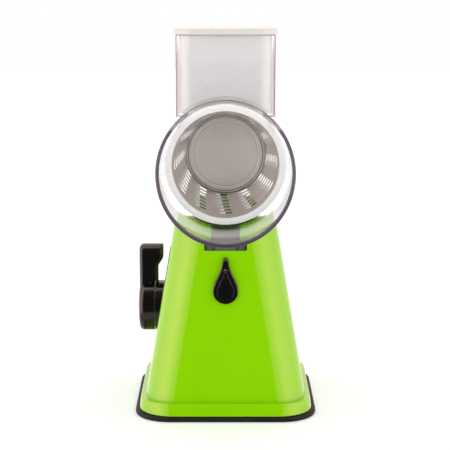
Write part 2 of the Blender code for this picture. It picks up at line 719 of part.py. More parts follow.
def build_latch():
    """The button and the latch that it pulls down."""
    radius = BUTTON_WIDTH / 2
    root = BUTTON_BOTTOM + radius
    face = BUTTON_BACK - BUTTON_THICKNESS
    button = slab("release_button", capsule(root, radius, BUTTON_TOP - BUTTON_TIP_RADIUS, BUTTON_TIP_RADIUS),
                  face, BUTTON_BACK, "Y", BLACK)
    round_edges(button, BUTTON_THICKNESS / 4, degrees=60)
    for i in range(RIB_COUNT):
        height = root + (i - (RIB_COUNT - 1) / 2) * RIB_PITCH
        join(button, box("rib", (-RIB_WIDTH / 2, face - RIB_HEIGHT, height - RIB_THICKNESS / 2),
                         (RIB_WIDTH / 2, face + RIB_HEIGHT, height + RIB_THICKNESS / 2)))
    join(button, box("button_stem", (-BUTTON_STEM_WIDTH / 2, face + BUTTON_THICKNESS / 2, BUTTON_STEM_BOTTOM),
                     (BUTTON_STEM_WIDTH / 2, LATCH_FRONT - SEAT_GAP, BUTTON_STEM_TOP)))
    latch = box("latch", (-LATCH_WIDTH / 2, LATCH_FRONT, LATCH_BOTTOM),
                (LATCH_WIDTH / 2, LATCH_BACK, LATCH_SHOULDER), WHITE)
    join(latch, box("tongue", (-TONGUE_WIDTH / 2, LATCH_FRONT, LATCH_SHOULDER - CUT_PAST),
                    (TONGUE_WIDTH / 2, TONGUE_BACK, TONGUE_TOP)))
    hang([button, latch], empty_at("latch_axis", (0, LATCH_FRONT, LATCH_BOTTOM)))


def build_bracket():
    """The open-fronted bracket that guides the latch and carries its spring, and its screws."""
    inner = LATCH_WIDTH / 2 + RUN_GAP
    outer = inner + BRACKET_WALL
    ear = BRACKET_SCREW_X + BRACKET_EAR / 2
    bracket = box("latch_bracket", (-outer, LATCH_FRONT, BRACKET_BOTTOM),
                  (outer, BRACKET_BACK, LATCH_SHOULDER), BLACK)
    join(bracket, box("ears", (-ear, BRACKET_BACK - BRACKET_WALL, BRACKET_SCREW_HEIGHT - BRACKET_EAR / 2),
                      (ear, BRACKET_BACK, BRACKET_SCREW_HEIGHT + BRACKET_EAR / 2)))
    cut(bracket, box("bracket_room", (-inner, LATCH_FRONT - CUT_PAST, BRACKET_BOTTOM + BRACKET_SHELF),
                     (inner, BRACKET_BACK - BRACKET_WALL, LATCH_SHOULDER + CUT_PAST)))
    places = []
    for side in (-1, 1):
        place = (side * BRACKET_SCREW_X, 0, BRACKET_SCREW_HEIGHT)
        places.append((place[0], BRACKET_BACK + SEAT_GAP, place[2]))
        cut(bracket, rod("ear_hole", SMALL_SCREW_RADIUS + SEAT_GAP, LATCH_FRONT, BRACKET_BACK + CUT_PAST,
                         place, "Y", HOLE_STEPS))
    copies(small_screw("bracket_screw", "Y"), places)


def build_spring():
    """The latch's coil spring, one unbroken wire."""
    low = BRACKET_BOTTOM + BRACKET_SHELF + SPRING_WIRE / 2 + SEAT_GAP
    high = LATCH_BOTTOM - SPRING_WIRE / 2 - SEAT_GAP
    per_turn = 8
    steps = per_turn * SPRING_CURLS
    path = []
    for i in range(steps + 1):
        turn = 2 * math.pi * i / per_turn
        path.append(Vector((SPRING_RADIUS * math.cos(turn), SPRING_RADIUS * math.sin(turn),
                            low + (high - low) * i / steps)))
    least = least_gap(path, SPRING_WIRE, per_turn)
    print(f"latch spring, least gap between its turns: {least * 1000:.2f} mm")
    line = bpy.data.curves.new("latch_spring", "CURVE")
    line.dimensions = "3D"
    line.bevel_depth = SPRING_WIRE / 2
    line.bevel_resolution = 1
    line.use_fill_caps = True
    spline = line.splines.new("POLY")
    spline.points.add(len(path) - 1)
    for point, place in zip(spline.points, path):
        point.co = (*place, 1.0)
    spring = add_object("latch_spring", line, STEEL)
    spring.location = (0, (LATCH_FRONT + LATCH_BACK) / 2, 0)


def least_gap(path, diameter, per_turn):
    """The least distance between the wire's surfaces, over points more than half a turn apart."""
    least = math.inf
    for i, here in enumerate(path):
        for there in path[i + per_turn // 2 + 1:]:
            least = min(least, (here - there).length - diameter)
    return least


def build_post():
    """The post that lifts the pad's middle, with the yoke and pin that ride on the cam."""
    post = turned("suction_post", [
        (0, YOKE_BOTTOM + CUT_PAST), (POST_RADIUS, YOKE_BOTTOM + CUT_PAST), (POST_RADIUS, POST_FOOT_TOP),
        (POST_FOOT_RADIUS, POST_FOOT_TOP), (POST_FOOT_RADIUS, POST_FOOT_BOTTOM), (0, POST_FOOT_BOTTOM),
    ], steps=MEDIUM_STEPS, material=WHITE)
    join(post, box("yoke", (-YOKE_WIDTH / 2, -YOKE_DEPTH / 2, YOKE_BOTTOM),
                   (YOKE_WIDTH / 2, YOKE_DEPTH / 2, YOKE_TOP)))
    slot = CAM_WIDTH / 2 + 2 * RUN_GAP
    slot_floor = LEVER_AXIS_HEIGHT - CAM_BASE_RADIUS - 2 * CAM_LIFT - 2 * RUN_GAP
    window = CAM_SHAFT_RADIUS + RUN_GAP
    cut(
        post,
        box("cam_slot", (-slot, -YOKE_DEPTH, slot_floor), (slot, YOKE_DEPTH, YOKE_TOP + CUT_PAST)),
        box("shaft_window", (-YOKE_WIDTH, -window, LEVER_AXIS_HEIGHT - window - CAM_LIFT),
            (YOKE_WIDTH, window, LEVER_AXIS_HEIGHT + window)),
        rod("pin_hole", LIFT_PIN_RADIUS + SEAT_GAP, -YOKE_WIDTH, YOKE_WIDTH, (0, 0, LIFT_PIN_HEIGHT), "X"),
    )
    pin = rod("lift_pin", LIFT_PIN_RADIUS, -YOKE_WIDTH / 2, YOKE_WIDTH / 2, (0, 0, LIFT_PIN_HEIGHT), "X",
              material=STEEL)
    smooth(pin)
    hang([post, pin], empty_at("post_axis", (0, 0, POST_FOOT_BOTTOM)))


def build_guide():
    """The guide that keeps the post upright over the tray's opening."""
    bore = POST_RADIUS + RUN_GAP
    sleeve = bore + GUIDE_WALL
    room = PAD_BOSS_RADIUS + 2 * RUN_GAP
    skirt = room + GUIDE_WALL
    guide = turned("post_guide", [
        (sleeve, GUIDE_DOME + GUIDE_HEIGHT), (sleeve, GUIDE_DOME + GUIDE_WALL),
        (skirt, GUIDE_DOME + GUIDE_WALL), (skirt, GUIDE_FLANGE_TOP),
        (GUIDE_FLANGE_RADIUS, GUIDE_FLANGE_TOP), (GUIDE_FLANGE_RADIUS, GUIDE_BOTTOM),
        (room, GUIDE_BOTTOM), (room, GUIDE_DOME), (bore, GUIDE_DOME), (bore, GUIDE_DOME + GUIDE_HEIGHT),
    ], material=BLACK, closed=True)
    for x, y, _ in guide_screw_places():
        cut(guide, rod("guide_way", SMALL_SCREW_RADIUS + SEAT_GAP, 0, GUIDE_DOME, (x, y, 0),
                       steps=HOLE_STEPS))


def cam_outline():
    """The cam's outline: its radius grows evenly over the lever's swing, stays, and falls back."""
    points = []
    dwell, back = LEVER_SWING_DEGREES + 15, 240
    for i in range(ROUND_STEPS):
        angle = 360 * i / ROUND_STEPS
        share = 0.0
        if angle <= dwell:
            share = min(angle / LEVER_SWING_DEGREES, 1.0)
        elif angle < back:
            share = (1 + math.cos(math.pi * (angle - dwell) / (back - dwell))) / 2
        radius = CAM_BASE_RADIUS + CAM_LIFT * share
        turn = math.radians(angle)
        points.append((-radius * math.sin(turn), LEVER_AXIS_HEIGHT + radius * math.cos(turn)))
    return points


def build_lever():
    """The lever, the shaft that it turns, the cam on the shaft, the clip and the screw."""
    square = LEVER_SQUARE / 2
    journal = BOSS_FACE_X - SEAT_GAP
    cam_end = CAM_WIDTH / 2 + SEAT_GAP
    shaft = rod("cam_shaft", CAM_SHAFT_RADIUS, journal, -cam_end, LEVER_PLACE, "X", MEDIUM_STEPS, STEEL)
    groove = BOSS_END_X + 2 * SEAT_GAP
    clip_bore = CAM_SHAFT_RADIUS - CLIP_GROOVE_DEPTH + SEAT_GAP
    outside = CAM_SHAFT_RADIUS + CUT_PAST
    ring_end = groove + CLIP_THICKNESS + 2 * SEAT_GAP
    join(
        shaft,
        rod("far_journal", FAR_JOURNAL_RADIUS, 0, CAM_SHAFT_END, LEVER_PLACE, "X", MEDIUM_STEPS),
        box("lever_square", (LEVER_SHAFT_START, -square, LEVER_AXIS_HEIGHT - square),
            (journal + CUT_PAST, square, LEVER_AXIS_HEIGHT + square)),
        box("cam_square", (-cam_end - CUT_PAST, -square, LEVER_AXIS_HEIGHT - square),
            (cam_end, square, LEVER_AXIS_HEIGHT + square)),
    )
    screw_end = LEVER_HEAD_SEAT - SEAT_GAP + LEVER_SCREW_LENGTH
    cut(
        shaft,
        turned("clip_groove", [
            (outside, ring_end), (outside, groove), (clip_bore - SEAT_GAP, groove),
            (clip_bore - SEAT_GAP, ring_end),
        ], LEVER_PLACE, "X", MEDIUM_STEPS, closed=True),
        rod("lever_screw_hole", LEVER_SCREW_RADIUS + SEAT_GAP, LEVER_SHAFT_START - CUT_PAST,
            screw_end + SEAT_GAP, LEVER_PLACE, "X", HOLE_STEPS),
    )
    smooth(shaft)
    cam = slab("suction_cam", cam_outline(), -CAM_WIDTH / 2, CAM_WIDTH / 2, "X", WHITE)
    socket = square + SEAT_GAP
    cut(cam, box("cam_socket", (-CAM_WIDTH, -socket, LEVER_AXIS_HEIGHT - socket),
                 (CAM_WIDTH, socket, LEVER_AXIS_HEIGHT + socket)))
    clip = rod("shaft_clip", CAM_SHAFT_RADIUS + CLIP_RISE, groove + SEAT_GAP,
               groove + SEAT_GAP + CLIP_THICKNESS, LEVER_PLACE, "X", MEDIUM_STEPS, STEEL)
    mouth = CAM_SHAFT_RADIUS * 0.6
    cut(
        clip,
        rod("clip_bore", clip_bore, BOSS_FACE_X, 0, LEVER_PLACE, "X", MEDIUM_STEPS),
        box("clip_mouth", (BOSS_FACE_X, -mouth, LEVER_AXIS_HEIGHT - 2 * CAM_SHAFT_RADIUS),
            (0, mouth, LEVER_AXIS_HEIGHT)),
    )
    head_seat = LEVER_HEAD_SEAT - SEAT_GAP
    screw = turned("lever_screw", [
        (0, screw_end), (LEVER_SCREW_RADIUS, screw_end), (LEVER_SCREW_RADIUS, head_seat),
        (LEVER_SCREW_HEAD, head_seat), (LEVER_SCREW_HEAD, head_seat - SCREW_HEAD_HEIGHT),
        (0, head_seat - SCREW_HEAD_HEIGHT),
    ], LEVER_PLACE, "X", SMALL_STEPS, STEEL)
    pieces = [build_lever_body(), shaft, cam, clip, screw]
    hang(pieces, empty_at("lever_axis", LEVER_PLACE))


def build_lever_body():
    """The lever: a round hub, an arm that stands clear of the stand, and a bulge for the thumb."""
    face, inner, root = LEVER_FACE_X, LEVER_INNER_X, LEVER_AXIS_HEIGHT
    rim = LEVER_ARM_INSET
    lever = turned("suction_lever", [
        (0, inner), (LEVER_HUB_RADIUS - rim, inner), (LEVER_HUB_RADIUS, inner - rim),
        (LEVER_HUB_RADIUS, face + 3 * rim), (LEVER_HUB_RADIUS - rim, face + rim),
        (LEVER_HUB_RADIUS - 4 * rim, face), (0, face),
    ], LEVER_PLACE, "X", ROUND_STEPS, BLACK)
    tip_radius = LEVER_ARM_TIP_WIDTH / 2
    top = root + LEVER_ARM_LENGTH
    outside = face + LEVER_ARM_INSET
    inside = outside + LEVER_ARM_THICKNESS
    bulge = inside + THUMB_BULGE
    bulge_low = top - THUMB_BULGE_LENGTH
    neck = inner - 2 * rim
    arm = slab("lever_arm", capsule(root, LEVER_ARM_ROOT_WIDTH / 2, top - tip_radius, tip_radius),
               outside - 2 * rim, bulge + 2 * rim, "X")
    keep_inside(arm, slab("arm_front", [
        (outside, root), (neck, root), (neck, root + LEVER_HUB_RADIUS - rim),
        (inside, root + LEVER_HUB_RADIUS + rim / 2), (inside, bulge_low - THUMB_BULGE_RISE),
        (bulge, bulge_low), (bulge, top - 2 * rim), (bulge - 2 * rim, top + rim),
        (outside + 2 * rim, top + rim), (outside, top - 2 * rim),
    ], -tip_radius - rim, tip_radius + rim, "Y"))
    join(lever, arm)
    socket = LEVER_SQUARE / 2 + SEAT_GAP
    bottom = inner - LEVER_SOCKET_DEPTH
    cut(
        lever,
        box("lever_socket", (bottom, -socket, root - socket), (0, socket, root + socket)),
        rod("lever_screw_way", LEVER_SCREW_RADIUS + SEAT_GAP, 2 * face, 0, LEVER_PLACE, "X", HOLE_STEPS),
        rod("lever_screw_seat", LEVER_SCREW_HEAD + 2 * SEAT_GAP, 2 * face, LEVER_HEAD_SEAT, LEVER_PLACE, "X"),
    )
    return lever


def build_bushes():
    """The two plain bushes that the lever's shaft runs in."""
    pairs = (
        ("lever_bush", CAM_SHAFT_RADIUS + RUN_GAP, LEVER_BUSH_RADIUS, BOSS_FACE_X + SEAT_GAP, BOSS_END_X),
        ("far_bush", FAR_JOURNAL_RADIUS + RUN_GAP, FAR_BUSH_RADIUS, FAR_BUSH_START, CAM_SHAFT_END),
    )
    for name, bore, radius, start, end in pairs:
        turned(name, [(radius, end), (radius, start), (bore, start), (bore, end)], LEVER_PLACE, "X",
               MEDIUM_STEPS, BLACK, closed=True)


def build_barrel():
    """The clear barrel with its slanted mouth, its hopper, its rail and the sleeve for the crank's bush."""
    barrel = rod("barrel_hopper", BARREL_RADIUS, 2 * MOUTH_LIP_Y, BARREL_REAR, AXIS_PLACE, "Y",
                 BARREL_STEPS, CLEAR)
    half, wall = HOPPER_WIDTH / 2, HOPPER_WALL
    foot, neck, tongue = RAIL_FOOT_WIDTH / 2, RAIL_NECK_WIDTH / 2, TONGUE_WIDTH / 2 + RUN_GAP
    sink = BARREL_WALL / 2
    join(
        barrel,
        slab("hopper_outside", rounded(half, HOPPER_FRONT, HOPPER_REAR, HOPPER_CORNER), AXIS_HEIGHT,
             HOPPER_TOP),
        box("rail_neck", (-neck, STAND_FRONT, RAIL_FOOT_HEIGHT + RAIL_FOOT_THICKNESS / 2),
            (neck, RAIL_REAR, AXIS_HEIGHT - BARREL_RADIUS + sink)),
        box("rail_foot", (-foot, STAND_FRONT, RAIL_FOOT_HEIGHT), (foot, RAIL_REAR, RAIL_FOOT_TOP)),
        rod("sleeve", SLEEVE_RADIUS, BARREL_REAR - sink, SLEEVE_END, AXIS_PLACE, "Y", ROUND_STEPS),
    )
    cut(
        barrel,
        rod("barrel_bore", BARREL_BORE, 3 * MOUTH_LIP_Y, REAR_WALL_FRONT, AXIS_PLACE, "Y", BARREL_STEPS),
        slab("hopper_inside", rounded(half - wall, HOPPER_FRONT + wall, HOPPER_REAR - wall,
                                      HOPPER_CORNER - wall), AXIS_HEIGHT + CUT_PAST, HOPPER_TOP + CUT_PAST),
        rod("sleeve_bore", BUSH_RADIUS + SEAT_GAP, 0, SLEEVE_END + CUT_PAST, AXIS_PLACE, "Y", ROUND_STEPS),
        box("latch_notch", (-tongue, LATCH_FRONT - LATCH_PLAY, RAIL_FOOT_HEIGHT - CUT_PAST),
            (tongue, TONGUE_BACK + RUN_GAP, TONGUE_TOP + RUN_GAP)),
        mouth_wedge(),
    )
    smooth(barrel)
    turned("rear_bush", [
        (SLEEVE_RADIUS, BUSH_END), (SLEEVE_RADIUS, SLEEVE_END + SEAT_GAP),
        (BUSH_RADIUS, SLEEVE_END + SEAT_GAP), (BUSH_RADIUS, REAR_WALL_FRONT),
        (BUSH_BORE, REAR_WALL_FRONT), (BUSH_BORE, BUSH_END),
    ], AXIS_PLACE, "Y", ROUND_STEPS, BLACK, closed=True)


def mouth_wedge():
    """What lies in front of the barrel's slanted mouth, seen from the side."""
    reach = 2 * BARREL_RADIUS
    slope = (MOUTH_TOP_Y - MOUTH_LIP_Y) / reach
    middle = (MOUTH_TOP_Y + MOUTH_LIP_Y) / 2
    low, high = AXIS_HEIGHT - reach, AXIS_HEIGHT + reach
    far = 3 * MOUTH_LIP_Y
    outline = [(far, low), (middle - slope * reach, low), (middle + slope * reach, high), (far, high)]
    return slab("mouth", outline, -reach, reach, "X")


def build_pusher():
    """The white pusher: a hollow block whose lower face follows the drum, and its cap."""
    gap = HOPPER_WALL + PUSHER_CLEARANCE
    half, corner = HOPPER_WIDTH / 2 - gap, HOPPER_CORNER - gap
    front, rear = HOPPER_FRONT + gap, HOPPER_REAR - gap
    pusher = slab("pusher_body", rounded(half, front, rear, corner), AXIS_HEIGHT + PUSHER_SHOULDER,
                  HOPPER_TOP, material=WHITE)
    wall = PUSHER_WALL
    cut(
        pusher,
        rod("pusher_face", PUSHER_FACE_RADIUS, 2 * HOPPER_FRONT, -HOPPER_FRONT, AXIS_PLACE, "Y",
            BARREL_STEPS),
        slab("pusher_inside", rounded(half - wall, front + wall, rear - wall, corner - wall),
             AXIS_HEIGHT + PUSHER_FACE_RADIUS + wall, HOPPER_TOP + CUT_PAST),
    )
    smooth(pusher)
    edge, plug = CAP_OVERHANG, PUSHER_WALL + SEAT_GAP
    cap = slab("pusher_cap", rounded(HOPPER_WIDTH / 2 + edge, HOPPER_FRONT - edge, HOPPER_REAR + edge,
                                     HOPPER_CORNER + edge), CAP_BOTTOM, CAP_BOTTOM + CAP_THICKNESS,
               material=WHITE)
    round_edges(cap, CAP_EDGE, degrees=60)
    join(cap, slab("cap_plug", rounded(half - plug, front + plug, rear - plug, corner - plug),
                   CAP_BOTTOM - CAP_PLUG_DEPTH, CAP_BOTTOM + CAP_THICKNESS / 2))
    smooth(cap)
    hang([pusher, cap], empty_at("pusher_axis", (0, (HOPPER_FRONT + HOPPER_REAR) / 2, CAP_BOTTOM)))


def drum_radius(y):
    """The drum sheet's inner radius at a place along its axis."""
    share = (y - DRUM_FRONT) / (DRUM_REAR - DRUM_FRONT)
    return DRUM_FRONT_RADIUS * (1 - share) + DRUM_REAR_RADIUS * share


def tooth_frames():
    """A frame at every tooth: X points out of the drum, Y along its sheet and Z round it."""
    slope = math.atan((DRUM_FRONT_RADIUS - DRUM_REAR_RADIUS) / (DRUM_REAR - DRUM_FRONT))
    frames = []
    for column in range(DRUM_COLUMNS):
        for row in range(DRUM_ROWS):
            y = DRUM_FRONT + FIRST_TOOTH + TOOTH_PITCH * row
            turn = math.radians(360 * column / DRUM_COLUMNS - 90 - COLUMN_SKEW_DEGREES * row)
            frames.append(
                Matrix.Translation(AXIS_PLACE) @ Matrix.Rotation(-turn, 4, "Y")
                @ Matrix.Translation((drum_radius(y), y, 0)) @ Matrix.Rotation(slope, 4, "Z")
            )
    return frames


def tooth_wedges():
    """A raised tooth behind each slot: it rises from the sheet towards the slot and widens there."""
    shape = bmesh.new()
    for frame in tooth_frames():
        verts = bmesh.ops.create_cube(shape, size=2.0)["verts"]
        for vert in verts:
            outer, lead = vert.co.x > 0, vert.co.z > 0
            rise = DRUM_SHEET + TOOTH_RISE if lead else DRUM_SHEET * 0.6
            sag = 0 if lead else TOOTH_LENGTH**2 / (2 * DRUM_FRONT_RADIUS)
            vert.co.x = (rise if outer else DRUM_SHEET * 0.4) - sag
            vert.co.y *= TOOTH_WIDTH * (0.5 if lead else 0.25)
            vert.co.z = 0 if lead else -TOOTH_LENGTH
        bmesh.ops.transform(shape, matrix=frame, verts=verts)
    return add_mesh("teeth", shape, None)


def slot_blocks():
    """A block through the sheet just ahead of each tooth."""
    shape = bmesh.new()
    for frame in tooth_frames():
        verts = bmesh.ops.create_cube(shape, size=1.0)["verts"]
        size = Matrix.Diagonal((8 * DRUM_SHEET, SLOT_WIDTH, SLOT_LENGTH, 1.0))
        ahead = Matrix.Translation((0, 0, SLOT_LENGTH / 2 + SEAT_GAP))
        bmesh.ops.transform(shape, matrix=frame @ ahead @ size, verts=verts)
    return add_mesh("slots", shape, None)


def build_drum():
    """The grating drum: perforated sheet, front ring, back disc and hub."""
    front, rear = DRUM_FRONT, DRUM_REAR
    sheet = turned("drum_shell", [
        (DRUM_REAR_RADIUS + DRUM_SHEET, rear), (DRUM_FRONT_RADIUS + DRUM_SHEET, front),
        (DRUM_FRONT_RADIUS, front), (DRUM_REAR_RADIUS, rear),
    ], AXIS_PLACE, "Y", material=SHEET_STEEL, closed=True)
    join(sheet, tooth_wedges())
    cut(sheet, slot_blocks())
    low = front - SEAT_GAP - RING_LIP
    high = low + RING_DEPTH
    bore = DRUM_FRONT_RADIUS + DRUM_SHEET + SEAT_GAP
    step = (RING_RADIUS - DRUM_FRONT_RADIUS) / 3
    ring = turned("drum_front_ring", [
        (RING_RADIUS - RING_EDGE, high), (RING_RADIUS, high - RING_EDGE), (RING_RADIUS, low + 2 * RING_EDGE),
        (RING_RADIUS - RING_EDGE, low + RING_EDGE), (RING_RADIUS - step, low + RING_EDGE),
        (RING_RADIUS - step - RING_EDGE, low), (DRUM_FRONT_RADIUS + RING_EDGE, low),
        (DRUM_FRONT_RADIUS, low + RING_EDGE), (DRUM_FRONT_RADIUS, front - SEAT_GAP), (bore, front - SEAT_GAP),
        (bore, high),
    ], AXIS_PLACE, "Y", material=WHITE, closed=True)
    pieces = [sheet, ring, build_disc(), build_hub()]
    hang(pieces, empty_at("drum_axis", AXIS_PLACE))


def build_disc():
    """The drum's back disc, its groove, and the seam that closes over the sheet's end."""
    edge, groove, side = DRUM_REAR_RADIUS - SEAT_GAP, DISC_GROOVE_RADIUS, DISC_GROOVE_WIDTH / 2
    seam = DRUM_REAR + SEAT_GAP
    dip = DISC_SHEET / 2
    return turned("drum_back_disc", [
        (0, DISC_REAR), (groove - side, DISC_REAR), (groove, DISC_REAR + dip), (groove + side, DISC_REAR),
        (edge - SEAM_WIDTH, DISC_REAR), (edge - SEAM_WIDTH, seam + DISC_SHEET),
        (SEAM_RADIUS, seam + DISC_SHEET), (SEAM_RADIUS, seam), (edge, seam), (edge, DISC_FRONT),
        (groove + side, DISC_FRONT),
        (groove, DISC_FRONT + dip), (groove - side, DISC_FRONT), (0, DISC_FRONT),
    ], AXIS_PLACE, "Y", material=SHEET_STEEL)


def build_hub():
    """The hub behind the disc, with the square socket that the crank drives."""
    hub = turned("drum_hub", [
        (0, HUB_REAR), (HUB_RADIUS, HUB_REAR), (HUB_RADIUS, HUB_FLANGE_REAR),
        (HUB_FLANGE_RADIUS, HUB_FLANGE_REAR), (HUB_FLANGE_RADIUS, HUB_FRONT), (0, HUB_FRONT),
    ], AXIS_PLACE, "Y", material=WHITE)
    socket_end = HUB_REAR - SQUARE_DRIVE_DEPTH - SEAT_GAP
    cut(hub, box("hub_socket", (-SOCKET_HALF, socket_end, AXIS_HEIGHT - SOCKET_HALF),
                 (SOCKET_HALF, HUB_REAR + CUT_PAST, AXIS_HEIGHT + SOCKET_HALF)))
    return hub


def build_crank():
    """The crank: its square-ended shaft, arm, screw and cap, and the knob that spins on its pin."""
    half = SQUARE_DRIVE / 2
    shaft = rod("crank_shaft", JOURNAL_RADIUS, HUB_REAR + RUN_GAP, CRANK_HUB_FRONT - RUN_GAP, AXIS_PLACE,
                "Y", ROUND_STEPS, STEEL)
    join(shaft, box("drive_squares", (-half, HUB_REAR - SQUARE_DRIVE_DEPTH, AXIS_HEIGHT - half),
                    (half, CRANK_SEAT - SEAT_GAP, AXIS_HEIGHT + half)))
    screw_end = CRANK_HUB_FRONT - CRANK_SCREW_DEPTH
    cut(shaft, rod("crank_screw_hole", CRANK_SCREW_RADIUS + SEAT_GAP, screw_end - SEAT_GAP,
                   CRANK_SEAT + CUT_PAST, AXIS_PLACE, "Y", HOLE_STEPS))
    smooth(shaft)
    head = CRANK_HEAD_SEAT + SEAT_GAP
    screw = turned("crank_screw", [
        (0, head + SCREW_HEAD_HEIGHT), (CRANK_SCREW_HEAD, head + SCREW_HEAD_HEIGHT), (CRANK_SCREW_HEAD, head),
        (CRANK_SCREW_RADIUS, head), (CRANK_SCREW_RADIUS, screw_end), (0, screw_end),
    ], AXIS_PLACE, "Y", SMALL_STEPS, STEEL)
    rise = CRANK_CAP_DEPTH / 2
    cap = turned("crank_cap", [
        (0, CRANK_HUB_REAR + rise), (CRANK_CAP_RADIUS * 0.8, CRANK_HUB_REAR + rise * 0.7),
        (CRANK_CAP_RADIUS, CRANK_HUB_REAR), (CRANK_CAP_RADIUS, CRANK_CAP_SEAT), (0, CRANK_CAP_SEAT),
    ], AXIS_PLACE, "Y", MEDIUM_STEPS, BLACK)
    pin, knob = build_knob()
    crank_holder = empty_at("crank_axis", (0, CRANK_HUB_FRONT, AXIS_HEIGHT))
    knob_holder = empty_at("knob_axis", (0, KNOB_FRONT, KNOB_AXIS_HEIGHT), crank_holder)
    hang([shaft, build_crank_arm(), screw, cap, pin], crank_holder)
    hang([knob], knob_holder)


def build_crank_arm():
    """The arm: a slanted flat bar from the hub to the knob's pin, upright at its tip."""
    arm = rod("crank_arm", CRANK_HUB_RADIUS, CRANK_HUB_FRONT, CRANK_HUB_REAR, AXIS_PLACE, "Y",
              ROUND_STEPS, BLACK)
    outline = capsule(AXIS_HEIGHT, CRANK_ARM_WIDTH / 2, KNOB_AXIS_HEIGHT, CRANK_TIP_WIDTH / 2)
    start = CRANK_HUB_FRONT + (CRANK_HUB_LENGTH - CRANK_ARM_THICKNESS) / 2
    bar = slab("arm_bar", outline, start, start + CRANK_ARM_THICKNESS, "Y")
    shear = (CRANK_TIP_Y - start) / CRANK_LENGTH
    for vertex in bar.data.vertices:
        vertex.co.y += min(AXIS_HEIGHT - vertex.co.z, CRANK_LENGTH) * shear
    tip_end = CRANK_TIP_Y + CRANK_ARM_THICKNESS
    join(arm, bar)
    pin_seat = CRANK_TIP_Y + SEAT_GAP
    cut(
        arm,
        box("arm_socket", (-SOCKET_HALF, CRANK_HUB_FRONT - CUT_PAST, AXIS_HEIGHT - SOCKET_HALF),
            (SOCKET_HALF, CRANK_SEAT, AXIS_HEIGHT + SOCKET_HALF)),
        rod("arm_screw_way", CRANK_SCREW_RADIUS + SEAT_GAP, CRANK_HUB_FRONT, CRANK_HUB_REAR, AXIS_PLACE,
            "Y", HOLE_STEPS),
        rod("arm_screw_seat", CRANK_SCREW_HEAD + 2 * SEAT_GAP, CRANK_HEAD_SEAT, CRANK_HUB_REAR + CUT_PAST,
            AXIS_PLACE, "Y"),
        rod("arm_cap_seat", CRANK_CAP_RADIUS + SEAT_GAP, CRANK_CAP_SEAT - SEAT_GAP, CRANK_HUB_REAR + CUT_PAST,
            AXIS_PLACE, "Y", MEDIUM_STEPS),
        rod("pin_way", KNOB_PIN_RADIUS + SEAT_GAP, pin_seat, tip_end + CUT_PAST, KNOB_PLACE, "Y"),
    )
    smooth(arm)
    return arm


def build_knob():
    """The knob and the headed pin that it spins on."""
    pin_head = KNOB_REAR - KNOB_RECESS_DEPTH
    bore = KNOB_PIN_RADIUS + RUN_GAP
    neck, step = KNOB_NECK_RADIUS, KNOB_RADIUS - KNOB_NECK_RADIUS
    pin = turned("knob_pin", [
        (0, pin_head + RUN_GAP + SCREW_HEAD_HEIGHT), (KNOB_PIN_HEAD, pin_head + RUN_GAP + SCREW_HEAD_HEIGHT),
        (KNOB_PIN_HEAD, pin_head + RUN_GAP), (KNOB_PIN_RADIUS, pin_head + RUN_GAP),
        (KNOB_PIN_RADIUS, CRANK_TIP_Y + 2 * SEAT_GAP), (0, CRANK_TIP_Y + 2 * SEAT_GAP),
    ], KNOB_PLACE, "Y", SMALL_STEPS, STEEL)
    knob = turned("crank_knob", [
        (KNOB_RECESS_RADIUS, KNOB_REAR), (neck, KNOB_REAR), (KNOB_RADIUS - step / 3, KNOB_REAR - step * 0.6),
        (KNOB_RADIUS, KNOB_REAR - 2 * step), (KNOB_RADIUS, KNOB_REAR - KNOB_LENGTH * 0.4),
        (KNOB_RADIUS - step / 3, KNOB_FRONT + KNOB_LENGTH * 0.3), (neck, KNOB_FRONT + KNOB_LENGTH * 0.1),
        (neck, KNOB_FRONT + step / 3), (neck - step / 3, KNOB_FRONT), (bore, KNOB_FRONT), (bore, pin_head),
        (KNOB_RECESS_RADIUS, pin_head),
    ], KNOB_PLACE, "Y", MEDIUM_STEPS, BLACK, closed=True)
    return pin, knob


def build_all():
    """Builds every sub-part."""
    build_pad()
    build_tray()
    build_screws()
    build_stand()
    build_latch()
    build_bracket()
    build_spring()
    build_post()
    build_guide()
    build_lever()
    build_bushes()
    build_barrel()
    build_pusher()
    build_drum()
    build_crank()


build_all()
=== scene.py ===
"""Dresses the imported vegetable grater: smooth moulded surfaces, finishes, light and the camera."""
import logging
import math
from dataclasses import dataclass
from enum import Enum
from functools import reduce

import bmesh
import bpy
import numpy as np
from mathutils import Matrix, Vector


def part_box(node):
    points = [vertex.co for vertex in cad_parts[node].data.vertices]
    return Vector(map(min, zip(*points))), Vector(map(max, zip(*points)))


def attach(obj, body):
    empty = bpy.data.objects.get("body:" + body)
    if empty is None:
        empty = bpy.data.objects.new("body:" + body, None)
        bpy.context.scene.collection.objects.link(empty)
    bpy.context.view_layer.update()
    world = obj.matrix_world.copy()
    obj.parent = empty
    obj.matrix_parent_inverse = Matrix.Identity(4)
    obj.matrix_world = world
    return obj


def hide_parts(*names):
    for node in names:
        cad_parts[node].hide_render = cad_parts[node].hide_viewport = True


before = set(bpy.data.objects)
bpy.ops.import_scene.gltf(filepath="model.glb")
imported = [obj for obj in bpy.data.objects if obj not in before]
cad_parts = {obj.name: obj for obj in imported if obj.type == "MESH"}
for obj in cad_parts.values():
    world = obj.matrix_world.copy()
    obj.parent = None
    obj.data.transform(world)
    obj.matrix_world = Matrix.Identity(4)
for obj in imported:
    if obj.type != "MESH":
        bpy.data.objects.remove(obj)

LOG = logging.getLogger("vegetable_grater")
MM = 0.001
MERGE = 0.0000005
HOOD_MARK = "hood"
CLEARANCE = 0.3 * MM
BEND_LIMIT = 0.45
LEAST_CORNER = 0.2
ROUND_LIMIT = 0.9
SMOOTH_STEPS = 128
FINE_STEPS = 160
NOISE_SPAN = (0.3, 0.7)
NUMBER_OPERATIONS = ("DOT_PRODUCT", "LENGTH")

Piece = bpy.types.Object
Socket = bpy.types.NodeSocket
Size = float | np.ndarray
Fed = Socket | float | tuple


